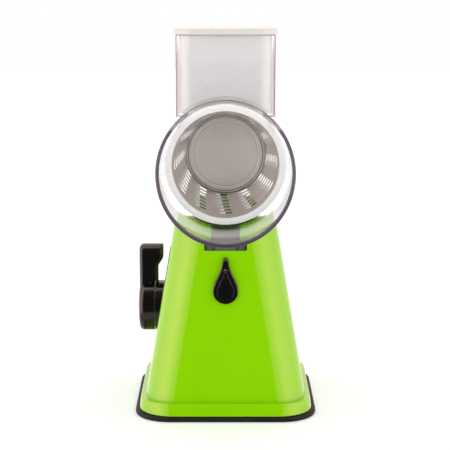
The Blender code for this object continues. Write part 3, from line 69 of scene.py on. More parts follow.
def middle_height(node: str) -> float:
    """The height of the middle of a CAD node's box."""
    low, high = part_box(node)
    return (low.z + high.z) / 2


class Axis(Enum):
    """The world axis that a piece is turned about."""

    X = "x"
    Y = "y"
    Z = "z"

    def stand_up(self, across: np.ndarray, aside: np.ndarray, along: np.ndarray) -> np.ndarray:
        """Points from two directions across this axis and the one along it.

        Args:
            across: distances in the first direction across the axis.
            aside: distances in the second direction across the axis, upwards on X and Y.
            along: distances along the axis.

        Returns:
            The points, with x, y and z last.
        """
        orders = {
            Axis.X: (along, across, aside),
            Axis.Y: (across, along, aside),
            Axis.Z: (across, aside, along),
        }
        return np.stack(np.broadcast_arrays(*orders[self]), axis=-1)


class Ends(Enum):
    """How a stack of rows closes into a body."""

    CAPS = "a flat face on the first row and on the last"
    POLES = "the first and last rows are single points"
    RING = "the last row joins the first"
    OPEN = "a sheet with two free edges"


class Work(Enum):
    """What a second shape does to a piece."""

    CUT = "DIFFERENCE"
    JOIN = "UNION"


def soften(line: list | np.ndarray, reach: float, steps: int = 3, closed: bool = False) -> np.ndarray:
    """Rounds the corners of a line of points.

    Each corner C becomes the curve (1 - t)^2 A + 2t(1 - t) C + t^2 B. A and B lie on the two stretches
    that meet in C, the reach away from it, or 0.45 of the stretch where that is shorter.

    Args:
        line: the points, one a row.
        reach: how far from a corner its rounding starts.
        steps: the stretches that each corner becomes.
        closed: whether the last point leads back to the first.

    Returns:
        The rounded line's points.
    """
    line = np.asarray(line, float)

    def step_towards(way: np.ndarray) -> np.ndarray:
        """The step from each point along its stretch to where the rounding starts."""
        length = np.linalg.norm(way, axis=1, keepdims=True)
        return way * np.minimum(reach / np.maximum(length, MERGE), BEND_LIMIT)

    start = line + step_towards(np.roll(line, 1, axis=0) - line)
    end = line + step_towards(np.roll(line, -1, axis=0) - line)
    t = np.linspace(0, 1, steps + 1)[None, :, None]
    curve = (1 - t) ** 2 * start[:, None] + 2 * t * (1 - t) * line[:, None] + t**2 * end[:, None]
    if closed:
        return curve.reshape(-1, 2)
    return np.vstack([line[:1], curve[1:-1].reshape(-1, 2), line[-1:]])


def rounded_rows(low_x: Size, high_x: Size, low_y: Size, high_y: Size, corner: Size,
                 steps: int = 16) -> np.ndarray:
    """Rounded rectangles. A corner's points are its centre plus its radius times (cos t, sin t).

    Args:
        low_x: the least x, a number or one for each row, as the next four are.
        high_x: the greatest x.
        low_y: the least y.
        high_y: the greatest y.
        corner: the corners' radius.
        steps: the stretches of a corner.

    Returns:
        An array of rows by points by x and y, anticlockwise from the right side.
    """
    sizes = np.broadcast_arrays(*(np.atleast_1d(size) for size in (low_x, high_x, low_y, high_y, corner)))
    low_x, high_x, low_y, high_y, corner = (size[:, None].astype(float) for size in sizes)
    turn = ((np.arange(4)[:, None] + np.linspace(0, 1, steps + 1)[None, :]) * np.pi / 2).ravel()
    right = np.repeat([True, False, False, True], steps + 1)
    upper = np.repeat([True, True, False, False], steps + 1)
    x = np.where(right, high_x - corner, low_x + corner) + corner * np.cos(turn)
    y = np.where(upper, high_y - corner, low_y + corner) + corner * np.sin(turn)
    return np.stack([x, y], axis=-1)


def evenly(outline: np.ndarray, count: int) -> np.ndarray:
    """Spreads points evenly along a closed outline, by its running length.

    Args:
        outline: the outline's points, x and y.
        count: how many points it gets.

    Returns:
        The new points.
    """
    loop = np.vstack([outline, outline[:1]])
    length = np.concatenate([[0.0], np.cumsum(np.linalg.norm(np.diff(loop, axis=0), axis=1))])
    places = np.linspace(0, length[-1], count, endpoint=False)
    return np.stack([np.interp(places, length, loop[:, 0]), np.interp(places, length, loop[:, 1])], axis=-1)


def at_height(outline: np.ndarray, height: Size) -> np.ndarray:
    """Outline points lifted to a height, which is a number or one for each row or point."""
    height = np.broadcast_to(np.asarray(height, float), outline.shape[:-1])
    return np.concatenate([outline, height[..., None]], axis=-1)


def box_rows(low: Vector, high: Vector, corner: float, line: np.ndarray, steps: int = 16) -> np.ndarray:
    """Rounded rectangles between two corners of a box, one for each point of a line.

    Args:
        low: the box's lowest corner.
        high: the box's highest corner.
        corner: the corners' radius where the inset is nothing.
        line: for each row its inset from the box and its height.
        steps: the stretches of a corner.

    Returns:
        An array of rows by points by x, y and z.
    """
    inset, height = np.asarray(line, float).T
    rows = rounded_rows(
        low.x + inset, high.x - inset, low.y + inset, high.y - inset,
        np.maximum(corner - inset, corner * LEAST_CORNER), steps,
    )
    return at_height(rows, height[:, None])


def circle_rows(outline: np.ndarray, line: list | np.ndarray) -> np.ndarray:
    """Circles about the z axis whose points lie in the same directions as an outline's.

    Args:
        outline: the outline, x and y.
        line: for each row its radius and its height.

    Returns:
        An array of rows by points by x, y and z.
    """
    radius, height = np.asarray(line, float).T
    towards = outline / np.linalg.norm(outline, axis=-1, keepdims=True)
    return at_height(towards[None] * radius[:, None, None], height[:, None])


def stairs(*values: float) -> list[tuple[float, float]]:
    """Points that change their first value and their second in turn: (a, b), (c, b), (c, d) and so on."""
    pairs = enumerate(zip(values, values[1:]))
    return [pair[::-1] if number % 2 else pair for number, pair in pairs]


def pole(rows: np.ndarray, point: tuple) -> np.ndarray:
    """One more row for a grid, with all its points in one place."""
    return np.broadcast_to(np.array(point), rows[:1].shape)


def grid_faces(rows: int, columns: int, ring: bool) -> np.ndarray:
    """The four-cornered faces of a grid whose columns close on themselves.

    Args:
        rows: the grid's rows.
        columns: the grid's columns.
        ring: whether the last row joins the first.

    Returns:
        One row of four point numbers for each face.
    """
    row, column = np.meshgrid(np.arange(rows if ring else rows - 1), np.arange(columns), indexing="ij")
    next_row, next_column = (row + 1) % rows, (column + 1) % columns
    corners = ((row, column), (row, next_column), (next_row, next_column), (next_row, column))
    return np.stack([(r * columns + c).ravel() for r, c in corners], axis=-1)


def add_piece(name: str, mesh: bpy.types.Mesh) -> Piece:
    """Links an object with a mesh to the scene.

    Args:
        name: the object's name.
        mesh: its mesh.

    Returns:
        The object.
    """
    piece = bpy.data.objects.new(name, mesh)
    bpy.context.scene.collection.objects.link(piece)
    return piece


def stacked(name: str, rows: np.ndarray, ends: Ends, keep: np.ndarray | None = None) -> Piece:
    """A body whose skin is a grid: each row is a closed line of points.

    Args:
        name: the piece's name.
        rows: the points, rows by columns by x, y and z.
        ends: how the stack closes.
        keep: which of the grid's faces there are, where it has holes.

    Returns:
        The piece.
    """
    count, columns = rows.shape[:2]
    faces = grid_faces(count, columns, ends is Ends.RING)
    faces = (faces if keep is None else faces[keep]).tolist()
    if ends is Ends.CAPS:
        faces.append(list(range(columns))[::-1])
        faces.append(list(range((count - 1) * columns, count * columns)))
    mesh = bpy.data.meshes.new(name)
    mesh.from_pydata(rows.reshape(-1, 3).tolist(), [], faces)
    shape = bmesh.new()
    shape.from_mesh(mesh)
    bmesh.ops.remove_doubles(shape, verts=shape.verts, dist=MERGE)
    bmesh.ops.delete(shape, geom=[v for v in shape.verts if not v.link_faces], context="VERTS")
    if ends is not Ends.OPEN:
        bmesh.ops.recalc_face_normals(shape, faces=shape.faces)
    shape.to_mesh(mesh)
    shape.free()
    return add_piece(name, mesh)


def turned(name: str, profile: list | np.ndarray, axis: Axis, place: tuple = (0.0, 0.0),
           steps: int = 96, closed: bool = False) -> Piece:
    """A turned body: a point of radius r and height h goes round the axis at (r cos t, r sin t, h).

    Args:
        name: the piece's name.
        profile: each point's radius and its place along the axis.
        axis: the axis that it is turned about.
        place: where the axis stands in the two directions across it.
        steps: the facets round the axis.
        closed: whether the profile is a closed line clear of the axis; otherwise both ends lie on it.

    Returns:
        The piece.
    """
    radius, along = np.asarray(profile, float).T
    turn = np.linspace(0, 2 * np.pi, steps, endpoint=False)
    across = place[0] + radius[:, None] * np.cos(turn)
    aside = place[1] + radius[:, None] * np.sin(turn)
    return stacked(name, axis.stand_up(across, aside, along[:, None]), Ends.RING if closed else Ends.POLES)


def extruded(name: str, outline: np.ndarray, start: float, end: float, axis: Axis) -> Piece:
    """A flat outline carried straight along an axis.

    Args:
        name: the piece's name.
        outline: the outline's points, in the two directions across the axis.
        start: where on the axis it starts.
        end: where on the axis it ends.
        axis: the axis.

    Returns:
        The piece.
    """
    along = np.array([[start], [end]])
    rows = axis.stand_up(outline[None, :, 0], outline[None, :, 1], along)
    return stacked(name, rows, Ends.CAPS)


def block(name: str, low: tuple, high: tuple) -> Piece:
    """A square-edged body between two corners, for cutting and joining."""
    outline = np.array([(high[0], high[1]), (low[0], high[1]), (low[0], low[1]), (high[0], low[1])])
    return stacked(name, at_height(np.stack([outline, outline]), np.array([[low[2]], [high[2]]])), Ends.CAPS)


def settle(piece: Piece) -> Piece:
    """Makes a piece's modifiers part of its mesh.

    Args:
        piece: the piece.

    Returns:
        The piece.
    """
    bpy.context.view_layer.update()
    done = bpy.data.meshes.new_from_object(piece.evaluated_get(bpy.context.evaluated_depsgraph_get()))
    piece.modifiers.clear()
    piece.data = done
    return piece


def work(piece: Piece, how: Work, *others: Piece) -> Piece:
    """Cuts other shapes out of a piece, or joins them to it, and uses them up.

    Args:
        piece: the piece.
        how: whether the others are cut out or joined on.
        others: the shapes.

    Returns:
        The piece.
    """
    for other in others:
        step = piece.modifiers.new(other.name, "BOOLEAN")
        step.operation = how.value
        step.solver = "EXACT"
        step.object = other
    settle(piece)
    for other in others:
        bpy.data.objects.remove(other, do_unlink=True)
    return piece


def ease_edges(piece: Piece, width: float, degrees: float = 40.0, segments: int = 3) -> Piece:
    """Rounds the edges that are sharper than an angle, and makes the rounding part of the mesh.

    Args:
        piece: the piece.
        width: how far the rounding reaches from an edge.
        degrees: the angle past which an edge is rounded.
        segments: the facets across a rounding.

    Returns:
        The piece.
    """
    step = piece.modifiers.new("ease", "BEVEL")
    step.width = width
    step.segments = segments
    step.limit_method = "ANGLE"
    step.angle_limit = math.radians(degrees)
    step.use_clamp_overlap = False
    return settle(piece)


def polish(piece: Piece, degrees: float = 38.0) -> Piece:
    """Gives smooth shading that keeps sharp edges sharp and large flat faces flat.

    Args:
        piece: the piece.
        degrees: the angle past which an edge is sharp.

    Returns:
        The piece.
    """
    piece.data.shade_smooth()
    piece.data.set_sharp_from_angle(angle=math.radians(degrees))
    step = piece.modifiers.new("flat faces lead", "WEIGHTED_NORMAL")
    step.keep_sharp = True
    return settle(piece)


class Board:
    """A node tree, with short calls for its nodes and links."""

    def __init__(self, owner: bpy.types.Material | bpy.types.World) -> None:
        """Turns on the nodes of the material or world that owns the tree."""
        owner.use_nodes = True
        self.tree = owner.node_tree

    def add(self, kind: str, inputs: dict | None = None, **settings: str | bool) -> bpy.types.Node:
        """Adds a node.

        Args:
            kind: the node's type, less the words that every type starts with.
            inputs: a value or a linked output for each input, by name or number.
            settings: the node's own settings.

        Returns:
            The node.
        """
        node = self.tree.nodes.new("ShaderNode" + kind)
        for name, value in settings.items():
            setattr(node, name, value)
        for name, value in (inputs or {}).items():
            self.feed(node.inputs[name], value)
        return node

    def feed(self, socket: Socket, value: Fed) -> None:
        """Links an output to a socket, or sets the socket's value.

        Args:
            socket: the socket.
            value: the output, or the value.
        """
        if isinstance(value, Socket):
            self.tree.links.new(value, socket)
        else:
            socket.default_value = value

    def figure(self, operation: str, *values: Fed, **settings: bool) -> Socket:
        """A number worked out from others."""
        return self.add("Math", dict(enumerate(values)), operation=operation, **settings).outputs[0]

    def vector(self, operation: str, *values: Fed) -> Socket:
        """A vector worked out from others, or a number where the operation gives one."""
        outputs = self.add("VectorMath", dict(enumerate(values)), operation=operation).outputs
        return outputs["Value" if operation in NUMBER_OPERATIONS else "Vector"]

    def product(self, *shares: Fed) -> Socket:
        """The product of two or more numbers."""
        return reduce(lambda first, second: self.figure("MULTIPLY", first, second), shares)

    def place(self, scale: tuple = (1, 1, 1), shift: tuple = (0, 0, 0)) -> Socket:
        """Object coordinates, shifted and then scaled."""
        moved = self.vector("ADD", self.add("TexCoord").outputs["Object"], shift)
        return self.vector("MULTIPLY", moved, scale)

    def noise(self, place: Socket, scale: float, detail: float = 2.0) -> Socket:
        """Soft noise from 0 to 1."""
        return self.add("TexNoise", {"Vector": place, "Scale": scale, "Detail": detail}).outputs["Fac"]

    def between(self, share: Socket, low: float, high: float, start: float = 0.0, end: float = 1.0) -> Socket:
        """A value that goes from low to high as the share goes from start to end, and no further."""
        inputs = {"Value": share, "From Min": start, "From Max": end, "To Min": low, "To Max": high}
        return self.add("MapRange", inputs, clamp=True).outputs["Result"]

    def step_up(self, share: Socket, start: float, width: float) -> Socket:
        """A value that goes from 0 to 1 over a width that begins at the start."""
        return self.between(share, 0.0, 1.0, start, start + width)

    def mixed(self, share: Socket, first: Fed, second: Fed) -> Socket:
        """A number between two."""
        return self.add("Mix", {0: share, 2: first, 3: second}).outputs[0]

    def blend(self, share: Socket, first: Socket | tuple, second: Socket | tuple) -> Socket:
        """A colour between two.

        Args:
            share: how much of the second colour there is.
            first: a linked colour, or its red, green and blue.
            second: the same for the other colour.

        Returns:
            The colour.
        """
        node = self.add("Mix", {0: share}, data_type="RGBA")
        for number, colour in ((6, first), (7, second)):
            self.feed(node.inputs[number], colour if isinstance(colour, Socket) else (*colour, 1.0))
        return node.outputs[2]

    def ramp(self, share: Socket, stops: tuple) -> Socket:
        """A grey that follows a row of stops.

        Args:
            share: the number, from 0 to 1, that it follows them by.
            stops: the stops, each a place from 0 to 1 and its shade.

        Returns:
            The grey.
        """
        node = self.add("ValToRGB", {0: share})
        marks = node.color_ramp.elements
        while len(marks) < len(stops):
            marks.new(0.5)
        for mark, (place, shade) in zip(marks, stops):
            mark.position = place
            mark.color = (shade, shade, shade, 1)
        return node.outputs[0]

    def bump(self, height: Socket, depth: float) -> Socket:
        """A surface normal from a height between 0 and 1 and its depth in metres."""
        return self.add("Bump", {"Height": height, "Distance": depth, "Strength": 1.0}).outputs["Normal"]


class Skin(Board):
    """A material's board, with its one Principled shader."""

    def __init__(self, name: str) -> None:
        """Starts the material.

        Args:
            name: its name.
        """
        self.material = bpy.data.materials.new(name)
        super().__init__(self.material)
        self.shader = self.tree.nodes["Principled BSDF"]

    def dress(self, **sockets: Fed) -> bpy.types.Material:
        """Feeds the shader's sockets.

        Args:
            sockets: a value or a linked output for each, under its name with underscores.

        Returns:
            The material.
        """
        for name, value in sockets.items():
            self.feed(self.shader.inputs[name.replace("_", " ").title().replace("Ior", "IOR")], value)
        return self.material


def scaled(value: float, shares: tuple) -> list[float]:
    """A value times each of some shares."""
    return [value * share for share in shares]


def shade_of(colour: tuple, share: float) -> tuple:
    """A colour made darker or lighter by a share."""
    return tuple(min(part * share, 1.0) for part in colour)


@dataclass(frozen=True)
class Finish:
    """What every finish has: a name, the slot that it stands for and a main colour."""

    name: str
    slot: str
    colour: tuple

    def material(self) -> bpy.types.Material:
        """The finish as a material."""
        raise NotImplementedError(self.name)


@dataclass(frozen=True)
class MouldedPlastic(Finish):
    """A moulded plastic: faint flow marks in its colour, wiped places, and the fine grain of its mould."""

    roughness: float
    flow: float = 0.03
    flow_stretch: tuple = (1, 1, 0.35)
    flow_noise: tuple = (34.0, 3.0)
    grain_depth: float = 0.003 * MM
    grain_noise: tuple = (900.0, 2.0)
    wipe_stretch: tuple = (1.0, 0.4, 1.0)
    wipe_noise: tuple = (90.0, 4.0)
    wipe_shares: tuple = (0.85, 1.2)
    gloss_ior: float = 1.5
    gloss_colour: tuple = (1.0, 1.0, 1.0)

    def material(self) -> bpy.types.Material:
        """The finish as a material.

        Returns:
            The material.
        """
        board = Skin(self.name)
        flow = board.noise(board.place(self.flow_stretch), *self.flow_noise)
        grain = board.noise(board.place(), *self.grain_noise)
        wipe = board.noise(board.place(self.wipe_stretch), *self.wipe_noise)
        return board.dress(
            base_color=board.blend(flow, *(shade_of(self.colour, 1 + sign * self.flow) for sign in (-1, 1))),
            roughness=board.between(wipe, *scaled(self.roughness, self.wipe_shares), *NOISE_SPAN),
            normal=board.bump(grain, self.grain_depth),
            specular_tint=(*self.gloss_colour, 1.0),
            ior=self.gloss_ior,
        )


@dataclass(frozen=True)
class ClearPlastic(Finish):
    """Clear moulded plastic, whose thick rim at the mouth is seen through its length and so looks dark; that
    dark look is painted into the rim as a nearly opaque indigo shade.
    """

    # painted dark indigo shade for the rim, standing in for the dark look of light seen through its length
    rim_shade_colour: tuple
    rim_depth: float
    mouth_top_y: float
    mouth_top_z: float
    mouth_slope: float
    lit_height: float
    wall_start: float
    rail_top: float
    # painted lavender shade on the hopper's side walls, standing in for their look when seen edge-on
    edge_shade_colour: tuple = (0.46, 0.38, 0.44)
    # painted grey-green and stripes of painted highlight and shade on the clear rail, nearly opaque there
    rail_shade_colour: tuple = (0.10, 0.14, 0.085)
    rail_clearness: float = 0.15
    rail_reach: float = 20 * MM
    rail_light_stripes: tuple = ((0.0, 0.9), (0.015, 0.9), (0.03, 0.6), (0.335, 0.6), (0.35, 0.85), (0.37, 0.28),
                           (0.515, 0.28), (0.53, 0.75), (0.55, 0.5), (0.68, 0.42), (0.70, 0.2), (0.82, 0.2))
    stripe_gain: tuple = (2, 2, 2)
    side_start: float = 37.2 * MM
    side_drop: float = 12 * MM
    side_fade: float = 6 * MM
    side_gloss: float = 0.03
    rim_solid: float = 0.6
    rim_fade: float = 12 * MM
    crown_share: float = 0.35
    front_span: float = 0.15
    edge_width: float = 0.8 * MM
    side_width: float = 0.6 * MM
    wipe_stretch: tuple = (1.0, 1.0, 0.3)
    wipe_noise: tuple = (60.0, 4.0)
    wipe_roughness: tuple = (0.0, 0.05, 0.35, 0.8)
    glass_ior: float = 1.49

    def rim_shade_share(self, board: Skin, behind: Socket, height: Socket) -> Socket:
        """How much painted rim shade a place gets.

        It is most on the faces that look forwards, just behind the mouth's plane, and less at the crown.

        Args:
            board: the material's board.
            behind: how far the place lies behind the mouth's plane.
            height: its height.

        Returns:
            The share.
        """
        # painted rim shade: full just behind the mouth's plane, falling to the crown share above the lit
        # height, only on forward faces
        rim = board.between(behind, 1.0, 0.0, self.rim_depth * self.rim_solid, self.rim_depth)
        high = board.between(height, 1.0, self.crown_share, self.lit_height, self.lit_height + self.rim_fade)
        normal = board.add("TexCoord").outputs["Normal"]
        facing = board.vector("DOT_PRODUCT", normal, (0, -1, self.mouth_slope))
        return board.product(rim, high, board.between(facing, 0.0, 1.0, 0.0, self.front_span))

    def rail_painted_light(self, board: Skin, aside: Socket) -> Socket:
        """The rail's painted light and shade: upright stripes of painted highlight and shade that follow its
        moulded edges, over a painted grey-green that stands in for the green stand and the dark slot seen
        through the clear rail.

        Args:
            board: the material's board.
            aside: the distance from the middle plane.

        Returns:
            The colour.
        """
        stripes = board.ramp(board.between(aside, 0, 1, 0, self.rail_reach), self.rail_light_stripes)
        return board.vector("MULTIPLY", board.vector("MULTIPLY", stripes, self.stripe_gain), self.rail_shade_colour)

    def material(self) -> bpy.types.Material:
        """The finish as a material: the rim's painted shade fades with the distance behind the mouth's plane.

        Returns:
            The material.
        """
        board = Skin(self.name)
        here = board.add("SeparateXYZ", {0: board.place()}).outputs
        drop = board.figure("SUBTRACT", here[2], self.mouth_top_z)
        plane = board.figure("MULTIPLY_ADD", drop, self.mouth_slope, self.mouth_top_y)
        behind = board.figure("SUBTRACT", here[1], plane)
        # share: how much painted rim shade each place gets
        share = self.rim_shade_share(board, behind, here[2])
        aside = board.figure("ABSOLUTE", here[0])
        thin = board.product(
            board.step_up(aside, self.side_start, self.side_width),
            board.step_up(here[2], self.lit_height - self.side_drop, self.side_fade),
            board.step_up(behind, self.rim_depth, MM),
        )
        # edge: where the hopper's side walls get their painted edge-on shade
        edge = board.product(
            board.step_up(aside, self.wall_start, self.edge_width),
            board.step_up(here[2], self.lit_height - MM, 3 * MM),
        )
        # rail: where the rail's painted light and shade replaces the clear plastic's look
        rail = board.between(here[2], 1.0, 0.0, self.rail_top, self.rail_top + MM)
        # the plastic's colour with the painted rim shade and the painted edge-on wall shade blended in
        tint = board.blend(edge, board.blend(share, self.colour, self.rim_shade_colour), self.edge_shade_colour)
        wipe = board.noise(board.place(self.wipe_stretch), *self.wipe_noise)
        return board.dress(
            base_color=board.blend(rail, tint, self.rail_painted_light(board, aside)),
            roughness=board.between(wipe, *self.wipe_roughness),
            # the painted rim and rail are made nearly opaque so that their painted shade shows
            transmission_weight=board.between(board.figure("MAXIMUM", rail, share), 1.0, self.rail_clearness),
            ior=self.glass_ior,
            specular_ior_level=board.between(thin, 0.5, self.side_gloss),
        )


@dataclass(frozen=True)
class BrushedSteel(Finish):
    """Sheet steel spun and brushed round the drum's axis, so that its fine lines are circles about it."""

    roughness: float
    axis_height: float
    line_scale: float = 1500.0
    line_depth: float = 0.012 * MM
    line_stretch: tuple = (2.2, 2.2, 2.2)
    line_noise: tuple = (1.0, 4.0)
    line_shades: tuple = (0.86, 1.12)
    smear_noise: tuple = (45.0, 3.0)
    smear_shares: tuple = (0.85, 1.25)
    # near-white painted highlight on the hoods, which also lose their metal
    hood_highlight_colour: tuple = (0.97, 0.95, 0.93)
    hood_start: float = 0.12
    metal: float = 0.9
    reach: float = 40 * MM
    # shade_rings: painted grey rings by distance from the axis, flat unless set
    shade_rings: tuple = ((0.0, 1.0), (1.0, 1.0))

    def material(self) -> bpy.types.Material:
        """The finish as a material.

        The lines' coordinate is the direction from the axis, which changes slowly, plus the distance along
        the axis and out from it, which change fast: so the noise is drawn out along circles.

        Returns:
            The material.
        """
        board = Skin(self.name)
        flat = board.place((1, 0, 1), (0, 0, -self.axis_height))
        radius = board.vector("LENGTH", flat)
        along = board.add("SeparateXYZ", {0: board.place()}).outputs[1]
        run = board.product(board.figure("ADD", radius, along), self.line_scale)
        fast = board.add("CombineXYZ", {1: run}).outputs[0]
        mixed = board.vector("MULTIPLY_ADD", board.vector("NORMALIZE", flat), self.line_stretch, fast)
        lines = board.noise(mixed, *self.line_noise)
        smear = board.noise(board.place(), *self.smear_noise)
        # hood: a hood's share of its rise, which fades in the painted highlight
        hood = board.add("Attribute", attribute_name=HOOD_MARK).outputs["Fac"]
        hood = board.step_up(hood, 0.0, self.hood_start)
        sheet = board.blend(lines, *(shade_of(self.colour, share) for share in self.line_shades))
        # painted shade rings, multiplied into the sheet's colour
        shade_rings = board.ramp(board.between(radius, 0, 1, 0, self.reach), self.shade_rings)
        return board.dress(
            base_color=board.blend(hood, board.vector("MULTIPLY", sheet, shade_rings), self.hood_highlight_colour),
            metallic=board.between(hood, self.metal, 0.0),
            roughness=board.between(smear, *scaled(self.roughness, self.smear_shares), *NOISE_SPAN),
            normal=board.bump(lines, self.line_depth),
        )


@dataclass(frozen=True)
class TurnedSteel(Finish):
    """Plated steel of pins, screws and springs, with the faint marks of the lathe and of handling."""

    roughness: float
    mark_noise: tuple = (3200.0, 1.0)
    mark_depth: float = 0.003 * MM
    stain_noise: tuple = (150.0, 4.0)
    stain_shades: tuple = (0.85, 1.1)
    stain_shares: tuple = (0.8, 1.5)

    def material(self) -> bpy.types.Material:
        """The finish as a material.

        Returns:
            The material.
        """
        board = Skin(self.name)
        marks = board.noise(board.place(), *self.mark_noise)
        stain = board.noise(board.place(), *self.stain_noise)
        return board.dress(
            base_color=board.blend(stain, *(shade_of(self.colour, share) for share in self.stain_shades)),
            metallic=1.0,
            roughness=board.between(stain, *scaled(self.roughness, self.stain_shares)),
            normal=board.bump(marks, self.mark_depth),
        )


@dataclass(frozen=True)
class PadRubber(Finish):
    """Soft dark rubber: a dull skin with fine pores, dustier where it is rubbed."""

    dust_colour: tuple
    dust_noise: tuple = (70.0, 5.0)
    dust_span: tuple = (0.4, 0.75)
    roughness: tuple = (0.5, 0.72)
    gloss: float = 0.2
    pore_noise: tuple = (1800.0, 3.0)
    pore_depth: float = 0.03 * MM

    def material(self) -> bpy.types.Material:
        """The finish as a material.

        Returns:
            The material.
        """
        board = Skin(self.name)
        dust = board.noise(board.place(), *self.dust_noise)
        pores = board.noise(board.place(), *self.pore_noise)
        return board.dress(
            base_color=board.blend(board.between(dust, 0, 1, *self.dust_span), self.colour, self.dust_colour),
            roughness=board.between(dust, *self.roughness),
            specular_ior_level=self.gloss,
            normal=board.bump(pores, self.pore_depth),
        )


AXIS_Z = middle_height("drum_front_ring")
MOUTH_TOP_Y = -95.3 * MM
MOUTH_LIP_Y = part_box("barrel_hopper")[0].y
BARREL_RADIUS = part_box("barrel_hopper")[1].x
MOUTH_SLOPE = (MOUTH_TOP_Y - MOUTH_LIP_Y) / (2 * BARREL_RADIUS)

GREEN = MouldedPlastic("green_gloss", "green_plastic", (0.292, 0.728, 0.0002), 0.06,
                       gloss_ior=1.7, gloss_colour=(1.0, 0.45, 0.52))
BLACK = MouldedPlastic("satin_black", "black_plastic", (0.006, 0.005, 0.005), 0.14, flow=0.15)
WHITE = MouldedPlastic("warm_white", "white_plastic", (0.83, 0.80, 0.785), 0.30, flow=0.012)
BRIGHT_WHITE = MouldedPlastic("bright_white", "white_plastic", (0.95, 0.93, 0.915), 0.26, flow=0.01)
# the clear moulding, with painted shade at its mouth rim and side walls and painted light and shade on its
# rail
CLEAR = ClearPlastic(
    "clear_moulding", "clear_plastic", (0.995, 0.99, 0.995), rim_shade_colour=(0.088, 0.062, 0.115),
    rim_depth=3.2 * MM, mouth_top_y=MOUTH_TOP_Y, mouth_top_z=AXIS_Z + BARREL_RADIUS, mouth_slope=MOUTH_SLOPE,
    lit_height=AXIS_Z + 28 * MM, wall_start=33.8 * MM, rail_top=135 * MM,
)
DRUM_STEEL = BrushedSteel("brushed_sheet", "sheet_steel", (0.74, 0.69, 0.66), 0.28, AXIS_Z)
# the end disc's rings are painted shade in its pressed groove and in its folded seam, with a faint painted
# highlight beside the groove
DISC_STEEL = BrushedSteel(
    "brushed_disc", "sheet_steel", (0.99, 0.94, 0.905), 0.5, AXIS_Z, metal=0.68,
    shade_rings=((0.0, 1.0), (0.602, 1.0), (0.612, 0.62), (0.622, 1.04), (0.640, 1.04), (0.650, 1.0), (0.700, 0.98),
           (0.706, 0.42), (0.716, 0.42), (0.724, 0.95), (0.736, 0.9), (0.744, 0.4), (0.760, 0.45)),
)
PIN_STEEL = TurnedSteel("plated_pin", "turned_steel", (0.56, 0.55, 0.54), 0.25)
RUBBER = PadRubber("pad_rubber", "black_rubber", (0.008, 0.0068, 0.0068), (0.018, 0.0155, 0.0155))


class Dresser:
    """Gives each finish one material and puts it on pieces and on CAD nodes."""

    def __init__(self) -> None:
        """Starts with no materials made."""
        self.made: dict[str, bpy.types.Material] = {}

    def paint(self, piece: Piece, finish: Finish) -> None:
        """Puts a finish on an object.

        Args:
            piece: the object.
            finish: its finish.
        """
        if finish.name not in self.made:
            self.made[finish.name] = finish.material()
        piece.data.materials.clear()
        piece.data.materials.append(self.made[finish.name])

    def mount(self, piece: Piece, finish: Finish, body: str, *nodes: str) -> Piece:
        """Finishes a piece and sets it on its body in place of CAD nodes.

        Args:
            piece: the piece.
            finish: its finish.
            body: the body that it moves with.
            nodes: the CAD nodes that it stands for.

        Returns:
            The piece.
        """
        polish(piece)
        self.paint(piece, finish)
        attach(piece, body)
        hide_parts(*nodes)
        LOG.info("%s stands for %s, %d faces", piece.name, ", ".join(nodes), len(piece.data.polygons))
        return piece

    def keep(self, finish: Finish, *nodes: str) -> None:
        """Finishes CAD nodes that are shown as they are.

        Args:
            finish: their finish.
            nodes: the nodes.
        """
        for node in nodes:
            self.paint(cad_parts[node], finish)
        LOG.info("%d nodes keep their own shape, in %s", len(nodes), finish.name)


